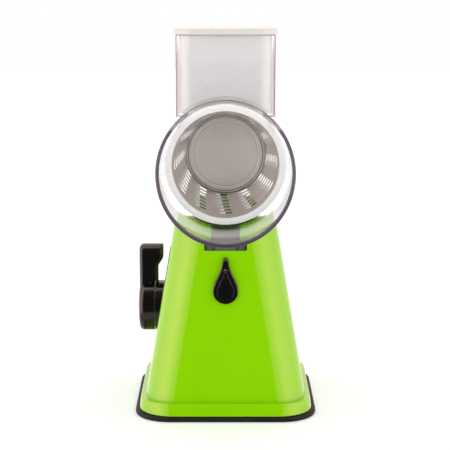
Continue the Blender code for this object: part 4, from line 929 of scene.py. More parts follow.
@dataclass
class Base:
    """The rubber pad and the green tray on it."""

    pad_corner: float = 27 * MM
    pad_thickness: float = 4 * MM
    pad_edge: float = 1.2 * MM
    edge_under: float = 0.5
    edge_rise: float = 0.4
    edge_lean: float = 0.15
    pad_under: float = 6 * MM
    pad_over: float = 8 * MM
    boss_radius: float = 18 * MM
    foot_radius: float = 12.3 * MM
    foot_low: float = 5.1 * MM
    foot_high: float = 7.7 * MM
    neck_radius: float = 4.85 * MM
    boss_root: float = 2 * MM
    boss_round: float = 0.4 * MM
    tray_corner: float = 26 * MM
    tray_draft: float = 1.3 * MM
    tray_floor: float = 4 * MM
    tray_wall: float = 9.5 * MM
    tray_opening: float = 22 * MM
    tray_under: float = 10 * MM
    tray_inside: float = 12 * MM
    tray_round: float = 0.7 * MM

    def build_pad(self) -> Piece:
        """The pad: rows run from its underside's middle, round its edge, and over its boss to the pocket.

        Returns:
            The pad.
        """
        low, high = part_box("suction_pad")
        top, edge = self.pad_thickness, self.pad_edge
        skirt = soften([
            (self.pad_under, 0), (self.edge_under * edge, 0), (0, self.edge_rise * top),
            (self.edge_lean * edge, top), (self.pad_over, top),
        ], edge, 4)
        outline = rounded_rows(low.x, high.x, low.y, high.y, self.pad_corner)[0]
        boss = soften(stairs(
            self.boss_radius + self.boss_root, top, self.boss_radius, high.z,
            self.neck_radius, self.foot_high, self.foot_radius, self.foot_low, 0,
        ), self.boss_round)
        rows = [
            circle_rows(outline, [(0, 0)]),
            box_rows(low, high, self.pad_corner, skirt),
            circle_rows(outline, boss),
        ]
        return stacked("pad_sheet", np.concatenate(rows), Ends.POLES)

    def build_tray(self) -> Piece:
        """The tray: rows run up its leaning outside, over its rim, down its room and through its opening.

        Returns:
            The tray.
        """
        low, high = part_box("base_tray")
        floor = low.z + self.tray_floor
        wall = soften([
            (self.tray_under, low.z), (0, low.z), (self.tray_draft, high.z), (self.tray_wall, high.z),
            (self.tray_wall, floor), (self.tray_inside, floor),
        ], self.tray_round, 4)
        outline = rounded_rows(low.x, high.x, low.y, high.y, self.tray_corner)[0]
        rows = [
            box_rows(low, high, self.tray_corner, wall),
            circle_rows(outline, [(self.tray_opening, floor), (self.tray_opening, low.z)]),
        ]
        return stacked("tray_skirt", np.concatenate(rows), Ends.RING)

    def build(self, dresser: Dresser) -> None:
        """Builds and finishes the base's pieces.

        Args:
            dresser: what finishes and mounts the pieces.
        """
        dresser.mount(self.build_pad(), RUBBER, "stand", "suction_pad")
        dresser.mount(self.build_tray(), GREEN, "stand", "base_tray")
        dresser.keep(PIN_STEEL, *(f"base_screw_{i}" for i in range(1, 5)))
        dresser.keep(PIN_STEEL, *(f"guide_screw_{i}" for i in range(1, 4)))
        dresser.keep(BLACK, "post_guide")
        dresser.keep(WHITE, "suction_post")
        dresser.keep(PIN_STEEL, "lift_pin")


@dataclass
class Stand:
    """The tapered green stand with its cradle, slots and the boss for the lever's bush."""

    top_half_width: float = 36.2 * MM
    top_depth: float = 78.6 * MM
    corner: float = 24 * MM
    wall: float = 2.6 * MM
    room_top: float = 125.5 * MM
    cradle_radius: float = 48.5 * MM
    cradle_rear: float = 12.3 * MM
    slot_half: float = 15.65 * MM
    slot_low: float = 129.25 * MM
    slot_high: float = 134.85 * MM
    slot_rear: float = 5.85 * MM
    neck_half: float = 10.95 * MM
    stem_half: float = 3.35 * MM
    stem_low: float = 93.65 * MM
    stem_high: float = 113.35 * MM
    tongue_half: float = 6.35 * MM
    tongue_front: float = -59.5 * MM
    tongue_rear: float = -54.75 * MM
    boss_radius: float = 17.2 * MM
    boss_face: float = -54.3 * MM
    boss_end: float = -41.8 * MM
    bush_hole: float = 8.35 * MM
    boss_round: float = 0.5 * MM
    room_start: float = 4 * MM
    front_share: float = 1.4
    edge: float = 0.5 * MM
    bands: int = 26
    corner_steps: int = 24

    def rows(self, heights: list | np.ndarray, inset: float) -> np.ndarray:
        """Outlines at some heights: the sides and the back lean in evenly and the front is upright.

        Args:
            heights: the outlines' heights.
            inset: how far they lie inside the stand's skin.

        Returns:
            An array of rows by points by x, y and z.
        """
        low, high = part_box("stand_body")
        height = np.asarray(heights, float)
        share = (height - low.z) / (high.z - low.z)
        half = high.x * (1 - share) + self.top_half_width * share - inset
        rear = high.y * (1 - share) + (low.y + self.top_depth) * share - inset
        rows = rounded_rows(-half, half, low.y + inset, rear, self.corner - inset, self.corner_steps)
        return at_height(rows, height[:, None])

    def build_casing(self) -> Piece:
        """The stand's casing. Its cuts cross its curved skin, so they are made as shapes cut from shapes.

        Returns:
            The casing.
        """
        low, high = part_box("stand_body")
        front = low.y * self.front_share
        lever_z = middle_height("lever_bush")
        casing = stacked("stand_casing", self.rows(np.linspace(low.z, high.z, self.bands), 0), Ends.CAPS)
        room = self.rows([low.z - self.room_start, self.room_top], self.wall)
        work(casing, Work.CUT, stacked("room", room, Ends.CAPS))
        boss = soften(stairs(0, self.boss_face, self.boss_radius, self.boss_end, 0), self.boss_round)
        hole = stairs(0, self.boss_face - MM, self.bush_hole, self.boss_end + MM, 0)
        cradle = stairs(0, front, self.cradle_radius, self.cradle_rear, 0)
        work(casing, Work.JOIN, turned("boss", boss, Axis.X, (0, lever_z)))
        return work(
            casing, Work.CUT,
            turned("cradle", cradle, Axis.Y, (0, AXIS_Z), FINE_STEPS),
            block("rail_slot", (-self.slot_half, front, self.slot_low),
                  (self.slot_half, self.slot_rear, self.slot_high)),
            block("neck_slot", (-self.neck_half, front, self.slot_low + MM),
                  (self.neck_half, self.slot_rear, AXIS_Z)),
            block("stem_slot", (-self.stem_half, front, self.stem_low),
                  (self.stem_half, low.y + 2 * self.wall, self.stem_high)),
            block("tongue_hole", (-self.tongue_half, self.tongue_front, self.room_top - MM),
                  (self.tongue_half, self.tongue_rear, self.slot_low + MM)),
            turned("bush_hole", hole, Axis.X, (0, lever_z)),
        )

    def build(self, dresser: Dresser) -> None:
        """Builds and finishes the stand."""
        dresser.mount(ease_edges(self.build_casing(), self.edge), GREEN, "stand", "stand_body")


@dataclass
class ReleaseLatch:
    """The drop-shaped thumb button with its ribs, and the latch, bracket and spring behind the wall."""

    tip_radius: float = 2.1 * MM
    rounding: float = 0.8 * MM
    line_round: float = 0.4 * MM
    face_share: float = 0.93
    rim_shade_share: float = 0.66
    rim_root: float = 0.05
    rim_half: float = 0.015
    rim_dish: float = 0.06
    rim_middle: float = 96.4 * MM
    rim_rise: float = 0.55 * MM
    dish_depth: float = 0.25 * MM
    rib_halves: tuple = (3.6 * MM, 4.6 * MM, 4.8 * MM, 4.1 * MM, 3.1 * MM)
    rib_pitch: float = 2.3 * MM
    rib_middle: float = 99.9 * MM
    rib_height: float = 0.55 * MM
    rib_half_thickness: float = 0.55 * MM
    rib_sunk: tuple = (0.6 * MM, 0.1 * MM)
    rib_insets: tuple = (0, 0, 0.25, 0.45)
    rib_shoulder: float = 0.7
    rib_corner: float = 0.98
    stem_half: float = 3 * MM
    stem_low: float = 99 * MM
    stem_high: float = 113 * MM
    stem_start: float = 2 * MM
    face_depth: float = 3.2 * MM
    flank_steps: int = 26

    def drop_outline(self, low: Vector, high: Vector) -> np.ndarray:
        """The drop: a half circle below, a small half circle at the tip, and flanks between them.

        On the flanks the half width falls as tip + (radius - tip)(1 + cos pi u) / 2, where u goes from 0 at
        the half circle to 1 at the tip, so that they are hollow below the tip.

        Args:
            low: the button's lowest corner.
            high: the button's highest corner.

        Returns:
            The outline, x and z.
        """
        radius, tip = high.x, self.tip_radius
        root, crown = low.z + radius, high.z - tip
        u = np.linspace(0, 1, self.flank_steps)[1:-1]
        half = tip + (radius - tip) * (1 + np.cos(np.pi * u)) / 2
        flank = np.stack([half, root + (crown - root) * u], axis=-1)
        below, above = np.linspace(np.pi, 2 * np.pi, 33), np.linspace(0, np.pi, 13)
        return np.vstack([
            np.stack([radius * np.cos(below), root + radius * np.sin(below)], axis=-1),
            flank,
            np.stack([tip * np.cos(above), crown + tip * np.sin(above)], axis=-1),
            (flank * (-1, 1))[::-1],
        ])

    def build_button(self) -> Piece:
        """The button: copies of its outline shrink towards its middle while their depth follows its face.

        Returns:
            The button.
        """
        low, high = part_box("release_button")
        outline = self.drop_outline(low, high)
        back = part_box("stand_body")[0].y - CLEARANCE
        face = back - self.face_depth
        share, floor = self.rim_shade_share, face + self.dish_depth
        line = soften([
            (1.0, back), (1.0, face + self.rounding), (self.face_share, face), (share + self.rim_root, face),
            (share + self.rim_half, face - self.rim_rise), (share - self.rim_half, face - self.rim_rise),
            (share - self.rim_dish, floor), (0.0, floor),
        ], self.line_round)
        middle = np.array([0, self.rim_middle])
        flat = middle + (outline - middle)[None] * line[:, 0, None, None]
        rows = Axis.Y.stand_up(flat[..., 0], flat[..., 1], line[:, 1, None])
        rows = np.concatenate([pole(rows, (0, back, self.rim_middle)), rows])
        button = stacked("thumb_button", rows, Ends.POLES)
        ribs = [self.build_rib(number, half, face) for number, half in enumerate(self.rib_halves)]
        stem = block("stem", (-self.stem_half, face + self.stem_start, self.stem_low),
                     (self.stem_half, high.y, self.stem_high))
        return work(button, Work.JOIN, *ribs, stem)

    def build_rib(self, number: int, half: float, face: float) -> Piece:
        """One rib: a round-ended bar across the button, narrower at its crown.

        Args:
            number: which rib it is, from the lowest.
            half: half its width.
            face: the y of the button's face.

        Returns:
            The rib.
        """
        thick = self.rib_half_thickness
        z = self.rib_middle + (number - (len(self.rib_halves) - 1) / 2) * self.rib_pitch
        inset = np.array(self.rib_insets) * thick
        depth = face + np.array([*self.rib_sunk, -self.rib_shoulder * self.rib_height, -self.rib_height])
        flat = rounded_rows(inset - half, half - inset, z - thick + inset, z + thick - inset,
                            (thick - inset) * self.rib_corner, 4)
        rows = Axis.Y.stand_up(flat[..., 0], flat[..., 1], depth[:, None])
        return stacked(f"rib_{number}", rows, Ends.CAPS)

    def build(self, dresser: Dresser) -> None:
        """Builds and finishes the button, and finishes what is behind the wall.

        Args:
            dresser: what finishes and mounts the pieces.
        """
        dresser.mount(self.build_button(), BLACK, "latch", "release_button")
        dresser.keep(WHITE, "latch")
        dresser.keep(BLACK, "latch_bracket")
        dresser.keep(PIN_STEEL, "bracket_screw_1", "bracket_screw_2", "latch_spring")


@dataclass
class SuctionLever:
    """The lever on the side: a domed hub, and a flat arm with a bulge for the thumb."""

    face: float = -67.4 * MM
    inner: float = -54.6 * MM
    hub_radius: float = 19.7 * MM
    hub_round: float = 3.4 * MM
    dome: float = 0.9 * MM
    dome_middle: tuple = (0.62, 0.15)
    dome_edge: tuple = (1.6, 0.6)
    hub_soft: float = 0.5 * MM
    arm_outer: float = -66.4 * MM
    arm_inner: float = -51.9 * MM
    arm_hub_inner: float = -56.6 * MM
    arm_top: float = 122.9 * MM
    root_half: float = 7.0 * MM
    tip_half: float = 9.0 * MM
    bulge: float = 4.0 * MM
    bulge_low: float = 114.3 * MM
    bulge_start: float = 105.6 * MM
    arm_root: float = 2 * MM
    step_in: float = 0.8 * MM
    least_half: float = 1.2 * MM
    top_lean: float = 0.2
    corner: float = 2.6 * MM
    top_round: float = 3.2 * MM
    seat_radius: float = 4.4 * MM
    seat_floor: float = -64.4 * MM
    collar_radius: float = 19.3 * MM
    collar_bore: float = 17.3 * MM
    collar_end: float = -45.5 * MM
    collar_gap: float = 0.35 * MM
    collar_round: float = 0.2 * MM

    def build_hub(self, height: float) -> Piece:
        """The hub: a turned disc with a domed face, a rounded rim and the screw's seat in its middle.

        Args:
            height: the height of the hub's axis.

        Returns:
            The hub.
        """
        face, rim, bend = self.face, self.hub_radius, np.linspace(0, np.pi / 2, 8)
        corner = np.stack([
            rim - self.hub_round * (1 - np.sin(bend)), face + self.dome + self.hub_round * (1 - np.cos(bend)),
        ], axis=-1)
        (middle, middle_rise), (edge, edge_rise) = self.dome_middle, self.dome_edge
        return turned("lever_hub", soften([
            *stairs(0, self.seat_floor, self.seat_radius, face),
            (rim * middle, face + middle_rise * self.dome),
            (rim - edge * self.hub_round, face + edge_rise * self.dome),
            *corner, (rim, self.inner), (0, self.inner),
        ], self.hub_soft, 4), Axis.X, (0, height), SMOOTH_STEPS)

    def build_arm(self, height: float) -> Piece:
        """The arm: rounded rectangles stacked upwards.

        Their half width grows evenly and then follows a circle at the tip. Their inner side moves out
        into the bulge by the smooth step s^2 (3 - 2s), and both sides follow a quarter circle at the top.

        Args:
            height: the height of the hub's axis.

        Returns:
            The arm.
        """
        top, tip = self.arm_top, self.tip_half
        straight = np.concatenate([
            height + np.array([self.arm_root, self.hub_radius, self.hub_radius + self.step_in]),
            np.linspace(self.bulge_start, self.bulge_low, 9),
        ])
        rise = np.concatenate([straight, top - tip + tip * np.sin(np.linspace(0, np.pi / 2, 18)[1:])])
        rise = np.unique(np.minimum(rise, top))
        even = self.root_half + (tip - self.root_half) * (rise - height) / (top - tip - height)
        past = np.clip((rise - (top - tip)) / tip, 0, 1)
        half = np.where(past > 0, tip * np.sqrt(1 - past**2), np.minimum(even, tip))
        half = np.maximum(half, self.least_half)
        lean = np.clip((rise - (top - self.top_round)) / self.top_round, 0, 1)
        turn_in = self.top_round * (1 - np.sqrt(1 - lean**2))
        s = np.clip((rise - self.bulge_start) / (self.bulge_low - self.bulge_start), 0, 1)
        out = self.arm_inner + self.bulge * s * s * (3 - 2 * s) - self.top_lean * turn_in
        out = np.where(rise <= height + self.hub_radius, self.arm_hub_inner, out)
        corner = np.minimum(self.corner, half * ROUND_LIMIT)
        rows = rounded_rows(self.arm_outer + turn_in, out, -half, half, corner, 8)
        return stacked("lever_arm", at_height(rows, rise[:, None]), Ends.CAPS)

    def build_collar(self, height: float) -> Piece:
        """The collar round the stand's boss, between the hub and the stand's leaning side.

        Args:
            height: the height of the hub's axis.

        Returns:
            The collar.
        """
        radius, bore = self.collar_radius, self.collar_bore
        start, end = self.inner + self.collar_gap, self.collar_end
        profile = soften([(radius, start), *stairs(radius, end, bore, start)], self.collar_round, closed=True)
        return turned("lever_collar", profile, Axis.X, (0, height), SMOOTH_STEPS, closed=True)

    def build(self, dresser: Dresser) -> None:
        """Builds and finishes the lever, and finishes what turns with it.

        Args:
            dresser: what finishes and mounts the pieces.
        """
        height = middle_height("lever_bush")
        dresser.mount(self.build_collar(height), BLACK, "stand")
        lever = work(self.build_hub(height), Work.JOIN, self.build_arm(height))
        lever.name = "lever_handle"
        dresser.mount(lever, BLACK, "lever", "suction_lever")
        dresser.keep(BLACK, "lever_bush", "far_bush")
        dresser.keep(WHITE, "suction_cam")
        dresser.keep(PIN_STEEL, "cam_shaft", "shaft_clip", "lever_screw")


def arched(outline: np.ndarray, radius: float, lift: float = 0.0) -> np.ndarray:
    """Outline points lifted onto a circle about the drum's axis, z = axis + sqrt(r^2 - x^2), and further."""
    return at_height(outline, AXIS_Z + np.sqrt(radius**2 - outline[..., 0] ** 2) + lift)


@dataclass
class BarrelHopper:
    """The clear moulding: barrel with a slanted mouth, hopper, rail and the sleeve for the bush."""

    wall: float = 2.6 * MM
    rear: float = 12 * MM
    rim_squash: float = 0.8
    rear_reach: float = 6 * MM
    rear_round: float = 0.8 * MM
    round_steps: int = 192
    sleeve_radius: float = 14 * MM
    sleeve_bore: float = 11.05 * MM
    sleeve_end: float = 20.5 * MM
    hopper_half: float = 36.25 * MM
    hopper_front: float = -59.8 * MM
    hopper_rear: float = -1.8 * MM
    hopper_corner: float = 12 * MM
    hopper_wall: float = 2.3 * MM
    hopper_edge: float = 0.5 * MM
    edge_share: float = 0.3
    hopper_inside: float = 0.1 * MM
    hopper_points: int = 240
    way_low: float = 6 * MM
    way_high: float = 8 * MM
    foot_half: float = 15.3 * MM
    foot_low: float = 129.6 * MM
    foot_high: float = 134.5 * MM
    neck_half: float = 10.6 * MM
    rail_front: float = -62.1 * MM
    rail_rear: float = 5.5 * MM
    rail_sunk: float = 0.7
    rail_round: float = 0.5 * MM
    notch_half: float = 6.35 * MM
    notch_front: float = -59.5 * MM
    notch_rear: float = -54.75 * MM
    notch_top: float = 133.35 * MM
    bush_radius: float = 10.75 * MM
    bush_bore: float = 8.35 * MM
    bush_round: float = 0.5 * MM

    def build_barrel(self) -> Piece:
        """The barrel's skin, a profile carried round the axis.

        It runs from the bore's rear end to the mouth, round the rim, back along the outside, and over the
        rear wall and the sleeve to the bore again. A point at radius r and turn t stands at x = r cos t
        and z = axis + r sin t. The rim's points are measured from the mouth's slanted plane, whose y is
        its top's y plus the slope times how far z lies below its top.

        Returns:
            The barrel.
        """
        outer, rim = BARREL_RADIUS, self.wall / 2
        bore, wall_front = outer - self.wall, self.rear - self.wall
        bend = np.linspace(0, np.pi, 13)
        rim_depth = self.rim_squash * rim * (1 - np.sin(bend))
        rim_line = np.stack([outer - rim - rim * np.cos(bend), rim_depth], axis=-1)
        back_line = soften([(outer, self.rear - self.rear_reach)] + stairs(
            outer, self.rear, self.sleeve_radius, self.sleeve_end, self.sleeve_bore, wall_front, bore,
            wall_front - self.rear_reach,
        ), self.rear_round, 4)
        radius = np.concatenate([rim_line[:, 0], back_line[:, 0]])[:, None]
        turn = np.linspace(0, 2 * np.pi, self.round_steps, endpoint=False)
        z = AXIS_Z + radius * np.sin(turn)
        mouth = MOUTH_TOP_Y + MOUTH_SLOPE * (z - AXIS_Z - outer)
        ahead = np.concatenate([rim_line[:, 1], back_line[:, 1]])[:, None]
        on_rim = (np.arange(len(radius)) < len(rim_line))[:, None]
        y = np.where(on_rim, mouth + ahead, ahead)
        return stacked("clear_barrel", Axis.Y.stand_up(radius * np.cos(turn), z, y), Ends.RING)

    def hopper_outline(self, inset: float) -> np.ndarray:
        """The hopper's outline seen from above, in evenly spread points.

        Args:
            inset: how far it lies inside the hopper's skin.

        Returns:
            The outline, x and y.
        """
        half, front, rear = self.hopper_half - inset, self.hopper_front + inset, self.hopper_rear - inset
        rows = rounded_rows(-half, half, front, rear, self.hopper_corner - inset)
        return evenly(rows[0], self.hopper_points)

    def build_hopper(self) -> Piece:
        """The hopper's four walls, whose lower ends follow a circle inside the barrel's wall.

        Returns:
            The walls.
        """
        top, edge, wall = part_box("barrel_hopper")[1].z, self.hopper_edge, self.hopper_wall
        over = self.edge_share * edge
        rim = ((0, edge), (over, over), (edge, 0), (wall - edge, 0), (wall - over, over), (wall, edge))
        rows = [
            arched(self.hopper_outline(0), BARREL_RADIUS - self.wall / 2),
            *(at_height(self.hopper_outline(inset), top - drop) for inset, drop in rim),
            arched(self.hopper_outline(wall), BARREL_RADIUS - self.wall + self.hopper_inside),
        ]
        return stacked("hopper_walls", np.stack(rows), Ends.RING)

    def build_rail(self) -> Piece:
        """The rail under the barrel, an upside-down T with eased corners.

        Returns:
            The rail.
        """
        top = AXIS_Z - BARREL_RADIUS + self.wall * self.rail_sunk
        foot, neck = self.foot_half, self.neck_half
        low, high = self.foot_low, self.foot_high
        outline = soften(stairs(-foot, low, foot, high, neck, top, -neck, high, -foot),
                         self.rail_round, closed=True)
        return extruded("rail", outline, self.rail_front, self.rail_rear, Axis.Y)

    def build(self, dresser: Dresser) -> None:
        """Builds and finishes the clear moulding, whose hopper opens into its barrel.

        Args:
            dresser: what finishes and mounts the pieces.
        """
        barrel = self.build_barrel()
        way = self.hopper_outline(self.hopper_wall / 2)
        work(barrel, Work.CUT, stacked("way_down", np.stack([
            at_height(way, AXIS_Z + self.way_low), at_height(way, AXIS_Z + BARREL_RADIUS + self.way_high),
        ]), Ends.CAPS))
        work(barrel, Work.JOIN, self.build_hopper(), self.build_rail())
        work(barrel, Work.CUT, block("notch", (-self.notch_half, self.notch_front, self.foot_low - MM),
                                     (self.notch_half, self.notch_rear, self.notch_top)))
        dresser.mount(barrel, CLEAR, "stand", "barrel_hopper")
        dresser.mount(self.build_bush(), BLACK, "stand", "rear_bush")

    def build_bush(self) -> Piece:
        """The bush in the sleeve, with its flange on the sleeve's end.

        Returns:
            The bush.
        """
        low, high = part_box("rear_bush")
        flange, body, bore, seat = high.x, self.bush_radius, self.bush_bore, self.sleeve_end + CLEARANCE
        profile = soften([(flange, high.y), *stairs(flange, seat, body, low.y, bore, high.y)],
                         self.bush_round, closed=True)
        return turned("shaft_bearing", profile, Axis.Y, (0, AXIS_Z), closed=True)


@dataclass
class Pusher:
    """The white block in the hopper and the lid on it."""

    corner: float = 9.2 * MM
    wall: float = 2.2 * MM
    face_radius: float = 42.5 * MM
    foot_edge: float = 0.5 * MM
    rim_edge: float = 0.4 * MM
    outline_points: int = 200
    slab_thickness: float = 4.5 * MM
    slab_corner: float = 13.7 * MM
    slab_middle: float = 8 * MM
    slab_round: float = 0.7 * MM
    lid_edge: float = 1.4 * MM
    lid_foot: tuple = (0.3, 0.5)
    lid_crown: tuple = ((0.35, 0.3), (1.4, 0.0))
    plug_inset: float = 7.0 * MM

    def build_block(self) -> Piece:
        """The block: its underside is an arch about the drum's axis, z = axis + sqrt(r^2 - x^2).

        Rows run from the arch's middle out to the outline, up the walls, over the rim and down inside.

        Returns:
            The block.
        """
        low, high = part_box("pusher_body")
        middle = np.array([0, (low.y + high.y) / 2])

        def outline(inset: float) -> np.ndarray:
            """The block's outline some way inside its skin, in evenly spread points."""
            sizes = (low.x + inset, high.x - inset, low.y + inset, high.y - inset, self.corner - inset)
            return evenly(rounded_rows(*sizes)[0], self.outline_points)

        share = np.linspace(0, 1, 13)[:, None, None]
        under = middle + (outline(self.foot_edge) - middle)[None] * share
        side, inside, floor = outline(0), outline(self.wall), AXIS_Z + self.face_radius + self.wall
        rows = np.stack([
            arched(side, self.face_radius, self.foot_edge), at_height(side, high.z - self.rim_edge),
            at_height(outline(self.rim_edge), high.z),
            at_height(inside, high.z), at_height(inside, floor),
            at_height(np.broadcast_to(middle, inside.shape), floor),
        ])
        return stacked("pusher_block", np.concatenate([arched(under, self.face_radius), rows]), Ends.POLES)

    def build_lid(self) -> Piece:
        """The lid: a slab with rounded edges, and the plug below it that fits the block.

        Returns:
            The lid.
        """
        low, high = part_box("pusher_cap")
        slab_low, middle = high.z - self.slab_thickness, (low + high) / 2
        plug, edge = self.plug_inset, self.lid_edge
        foot_in, foot_up = self.lid_foot
        rows = box_rows(low, high, self.slab_corner, soften([
            (plug, low.z), (plug, slab_low), (edge * foot_in, slab_low), (0, slab_low + edge * foot_up),
            (0, high.z - edge), *((edge * inset, high.z - edge * drop) for inset, drop in self.lid_crown),
            (self.slab_middle, high.z),
        ], self.slab_round, 4))
        start, end = (pole(rows, (middle.x, middle.y, height)) for height in (low.z, high.z))
        return stacked("pusher_lid", np.concatenate([start, rows, end]), Ends.POLES)

    def build(self, dresser: Dresser) -> None:
        """Builds and finishes the pusher."""
        dresser.mount(self.build_block(), WHITE, "pusher", "pusher_body")
        dresser.mount(self.build_lid(), WHITE, "pusher", "pusher_cap")


@dataclass
class GratingDrum:
    """The drum: its sheet of hooded slots, mouth ring, end disc and boss."""

    front_radius: float = 38.4 * MM
    rear_radius: float = 29.9 * MM
    sheet: float = 0.35 * MM
    columns: int = 12
    tooth_rows: int = 7
    pitch: float = 7.6 * MM
    first_tooth: float = 12.3 * MM
    skew_degrees: float = 1.2
    hood_length: float = 5.2 * MM
    slot_length: float = 4.9 * MM
    slot_half: float = 2.3 * MM
    hood_half: float = 2.9 * MM
    hood_rise: float = 2.1 * MM
    hood_curve: float = 1.4
    lines_before: int = 6
    lines_after: int = 3
    row_marks: tuple = (0, 2, 3, 6, 9, 10, 12)
    column_marks: tuple = (0, 4, 10, 16, 20)
    ring_radius: float = 43.35 * MM
    ring_bore: float = 1.1 * MM
    ring_steps: tuple = (0.9 * MM, 0.7 * MM)
    ring_round: float = 0.6 * MM
    disc_sheet: float = 0.8 * MM
    groove_radius: float = 24.6 * MM
    groove_half: float = 0.7 * MM
    groove_depth: float = 0.1 * MM
    seam_radius: float = 31.2 * MM
    seam_width: float = 1.2 * MM
    seam_steps: tuple = (0.6 * MM, 1.3 * MM)
    fold_width: float = 1.3 * MM
    fold_places: tuple = (-0.5 * MM, 0.0, 0.45 * MM)
    fold_depths: tuple = (0.0, 0.7 * MM, -0.35 * MM, -0.2 * MM)
    disc_round: float = 0.4 * MM
    boss_radius: float = 15 * MM
    boss_flange: float = 3 * MM
    boss_way: float = 6.7 * MM
    boss_depth: float = 12.3 * MM
    boss_round: float = 0.6 * MM

    def cone(self, y: Size, front: float, rear: float) -> Size:
        """The sheet's radius, without its hoods, at places between its front and rear edges."""
        return self.front_radius + (self.rear_radius - self.front_radius) * (y - front) / (rear - front)

    def build_sheet(self) -> Piece:
        """The grating sheet, a cone on a grid that follows the slanted columns of slots.

        Round the drum each column takes 20 steps, set so that a hood fills six of them before the slot
        and the slot the next six; along the drum each row takes 12 steps, six of them across the slot.
        A hood's height is its rise times (share of its length)^1.4 times cos^2 of the share of its width.

        Returns:
            The sheet.
        """
        low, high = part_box("drum_shell")
        front, rear = low.y, high.y
        first = front + self.first_tooth
        cell = self.pitch / 2
        across = np.array([-cell, -self.hood_half, -self.slot_half, 0, self.slot_half, self.hood_half, cell])
        rows, steps = self.row_marks[-1], self.column_marks[-1]
        local = np.interp(np.arange(rows), self.row_marks, across)
        body = (first + self.pitch * np.arange(self.tooth_rows)[:, None] + local).ravel()
        before = np.linspace(front, first - cell, self.lines_before)[:-1]
        after = np.linspace(body[-1] + cell - local[-1], rear, self.lines_after)
        y = np.concatenate([before, body, after])
        away = np.full(len(y), cell)
        away[len(before):len(before) + len(body)] = np.tile(local, self.tooth_rows)
        radius = self.cone(y, front, rear)
        half_cell = np.pi / self.columns
        breaks = np.stack([
            np.full(len(y), -half_cell), -self.hood_length / radius, np.zeros(len(y)),
            self.slot_length / radius, np.full(len(y), half_cell),
        ], axis=-1)
        turn = breaks @ np.stack([np.interp(np.arange(steps), self.column_marks, unit) for unit in np.eye(5)])
        arc = turn * radius[:, None]
        run = np.clip(1 + arc / self.hood_length, 0, 1) * (arc <= MERGE)
        width = self.hood_half * (0.5 + 0.5 * run)
        side = np.clip(np.abs(away)[:, None] / width, 0, 1)
        rise = self.hood_rise * run**self.hood_curve * np.cos(side * np.pi / 2) ** 2
        column = -np.pi / 2 + 2 * half_cell * np.arange(self.columns)
        skew = -math.radians(self.skew_degrees) * (y - first) / self.pitch
        angle = (column[None, :, None] + skew[:, None, None] + turn[:, None, :]).reshape(len(y), -1)
        out = np.tile(radius[:, None] + rise, (1, self.columns))
        points = Axis.Y.stand_up(out * np.cos(angle), AXIS_Z + out * np.sin(angle), y[:, None])
        row, step = np.meshgrid(np.arange(len(y) - 1) - len(before), np.arange(angle.shape[1]), indexing="ij")
        in_slot = (row % rows >= self.row_marks[2]) & (row % rows < self.row_marks[4])
        in_slot &= (row >= 0) & (row < len(body))
        in_slot &= (step % steps >= self.column_marks[2]) & (step % steps < self.column_marks[3])
        sheet = stacked("grating_sheet", points, Ends.OPEN, ~in_slot.ravel())
        self.face_out(sheet)
        self.mark_hoods(sheet, front, rear)
        step = sheet.modifiers.new("thickness", "SOLIDIFY")
        step.thickness = self.sheet
        step.offset = 1.0
        return settle(sheet)

    def mark_hoods(self, sheet: Piece, front: float, rear: float) -> None:
        """Gives each point the share of a hood's rise that it has, for the finish.

        Args:
            sheet: the sheet.
            front: the y of its front edge.
            rear: the y of its rear edge.
        """
        place = np.empty(3 * len(sheet.data.vertices))
        sheet.data.vertices.foreach_get("co", place)
        x, y, z = place.reshape(-1, 3).T
        share = (np.hypot(x, z - AXIS_Z) - self.cone(y, front, rear)) / self.hood_rise
        mark = sheet.data.attributes.new(HOOD_MARK, "FLOAT", "POINT")
        mark.data.foreach_set("value", np.clip(share, 0, 1).astype(np.float32))

    def face_out(self, sheet: Piece) -> None:
        """Turns the sheet's faces round if they look at the drum's axis.

        Args:
            sheet: the sheet.
        """
        mesh = sheet.data
        centres, normals = np.empty(3 * len(mesh.polygons)), np.empty(3 * len(mesh.polygons))
        mesh.polygons.foreach_get("center", centres)
        mesh.polygons.foreach_get("normal", normals)
        outwards = centres.reshape(-1, 3) - (0, 0, AXIS_Z)
        if (outwards * normals.reshape(-1, 3))[:, (0, 2)].sum() < 0:
            mesh.flip_normals()

    def build_ring(self) -> Piece:
        """The ring at the drum's mouth, stepped on its face, with the sheet's edge inside it.

        Returns:
            The ring.
        """
        low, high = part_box("drum_front_ring")
        outer, inner = self.ring_radius, self.front_radius
        step = (outer - inner) / 3
        bore, seat = inner + self.ring_bore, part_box("drum_shell")[0].y - CLEARANCE
        lower, upper = (low.y + rise for rise in self.ring_steps)
        return turned("drum_mouth_ring", soften([
            (outer, high.y), (outer, lower), (outer - step, upper),
            *stairs(outer - step, low.y, inner, seat, bore, high.y),
        ], self.ring_round, 4, closed=True), Axis.Y, (0, AXIS_Z), FINE_STEPS, closed=True)

    def build_disc(self) -> Piece:
        """The end disc: a pressed groove near its rim, then the folded seam that holds the sheet.

        Returns:
            The disc.
        """
        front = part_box("drum_back_disc")[0].y
        rear, dip = front + self.disc_sheet, self.groove_depth
        groove, half = self.groove_radius, self.groove_half
        edge, seam = self.rear_radius - CLEARANCE, self.seam_radius
        inner, (lower, upper) = edge - self.seam_width, (rear + rise for rise in self.seam_steps)
        places = [edge - self.fold_width + place for place in self.fold_places] + [edge]
        return turned("drum_end_disc", soften([
            (0, front), (groove - half, front), (groove, front + dip), (groove + half, front),
            *((place, front + depth) for place, depth in zip(places, self.fold_depths)),
            *stairs(edge, lower, seam, upper, inner, rear),
            (groove + half, rear), (groove, rear + dip), (groove - half, rear), (0, rear),
        ], self.disc_round, 4), Axis.Y, (0, AXIS_Z), FINE_STEPS)

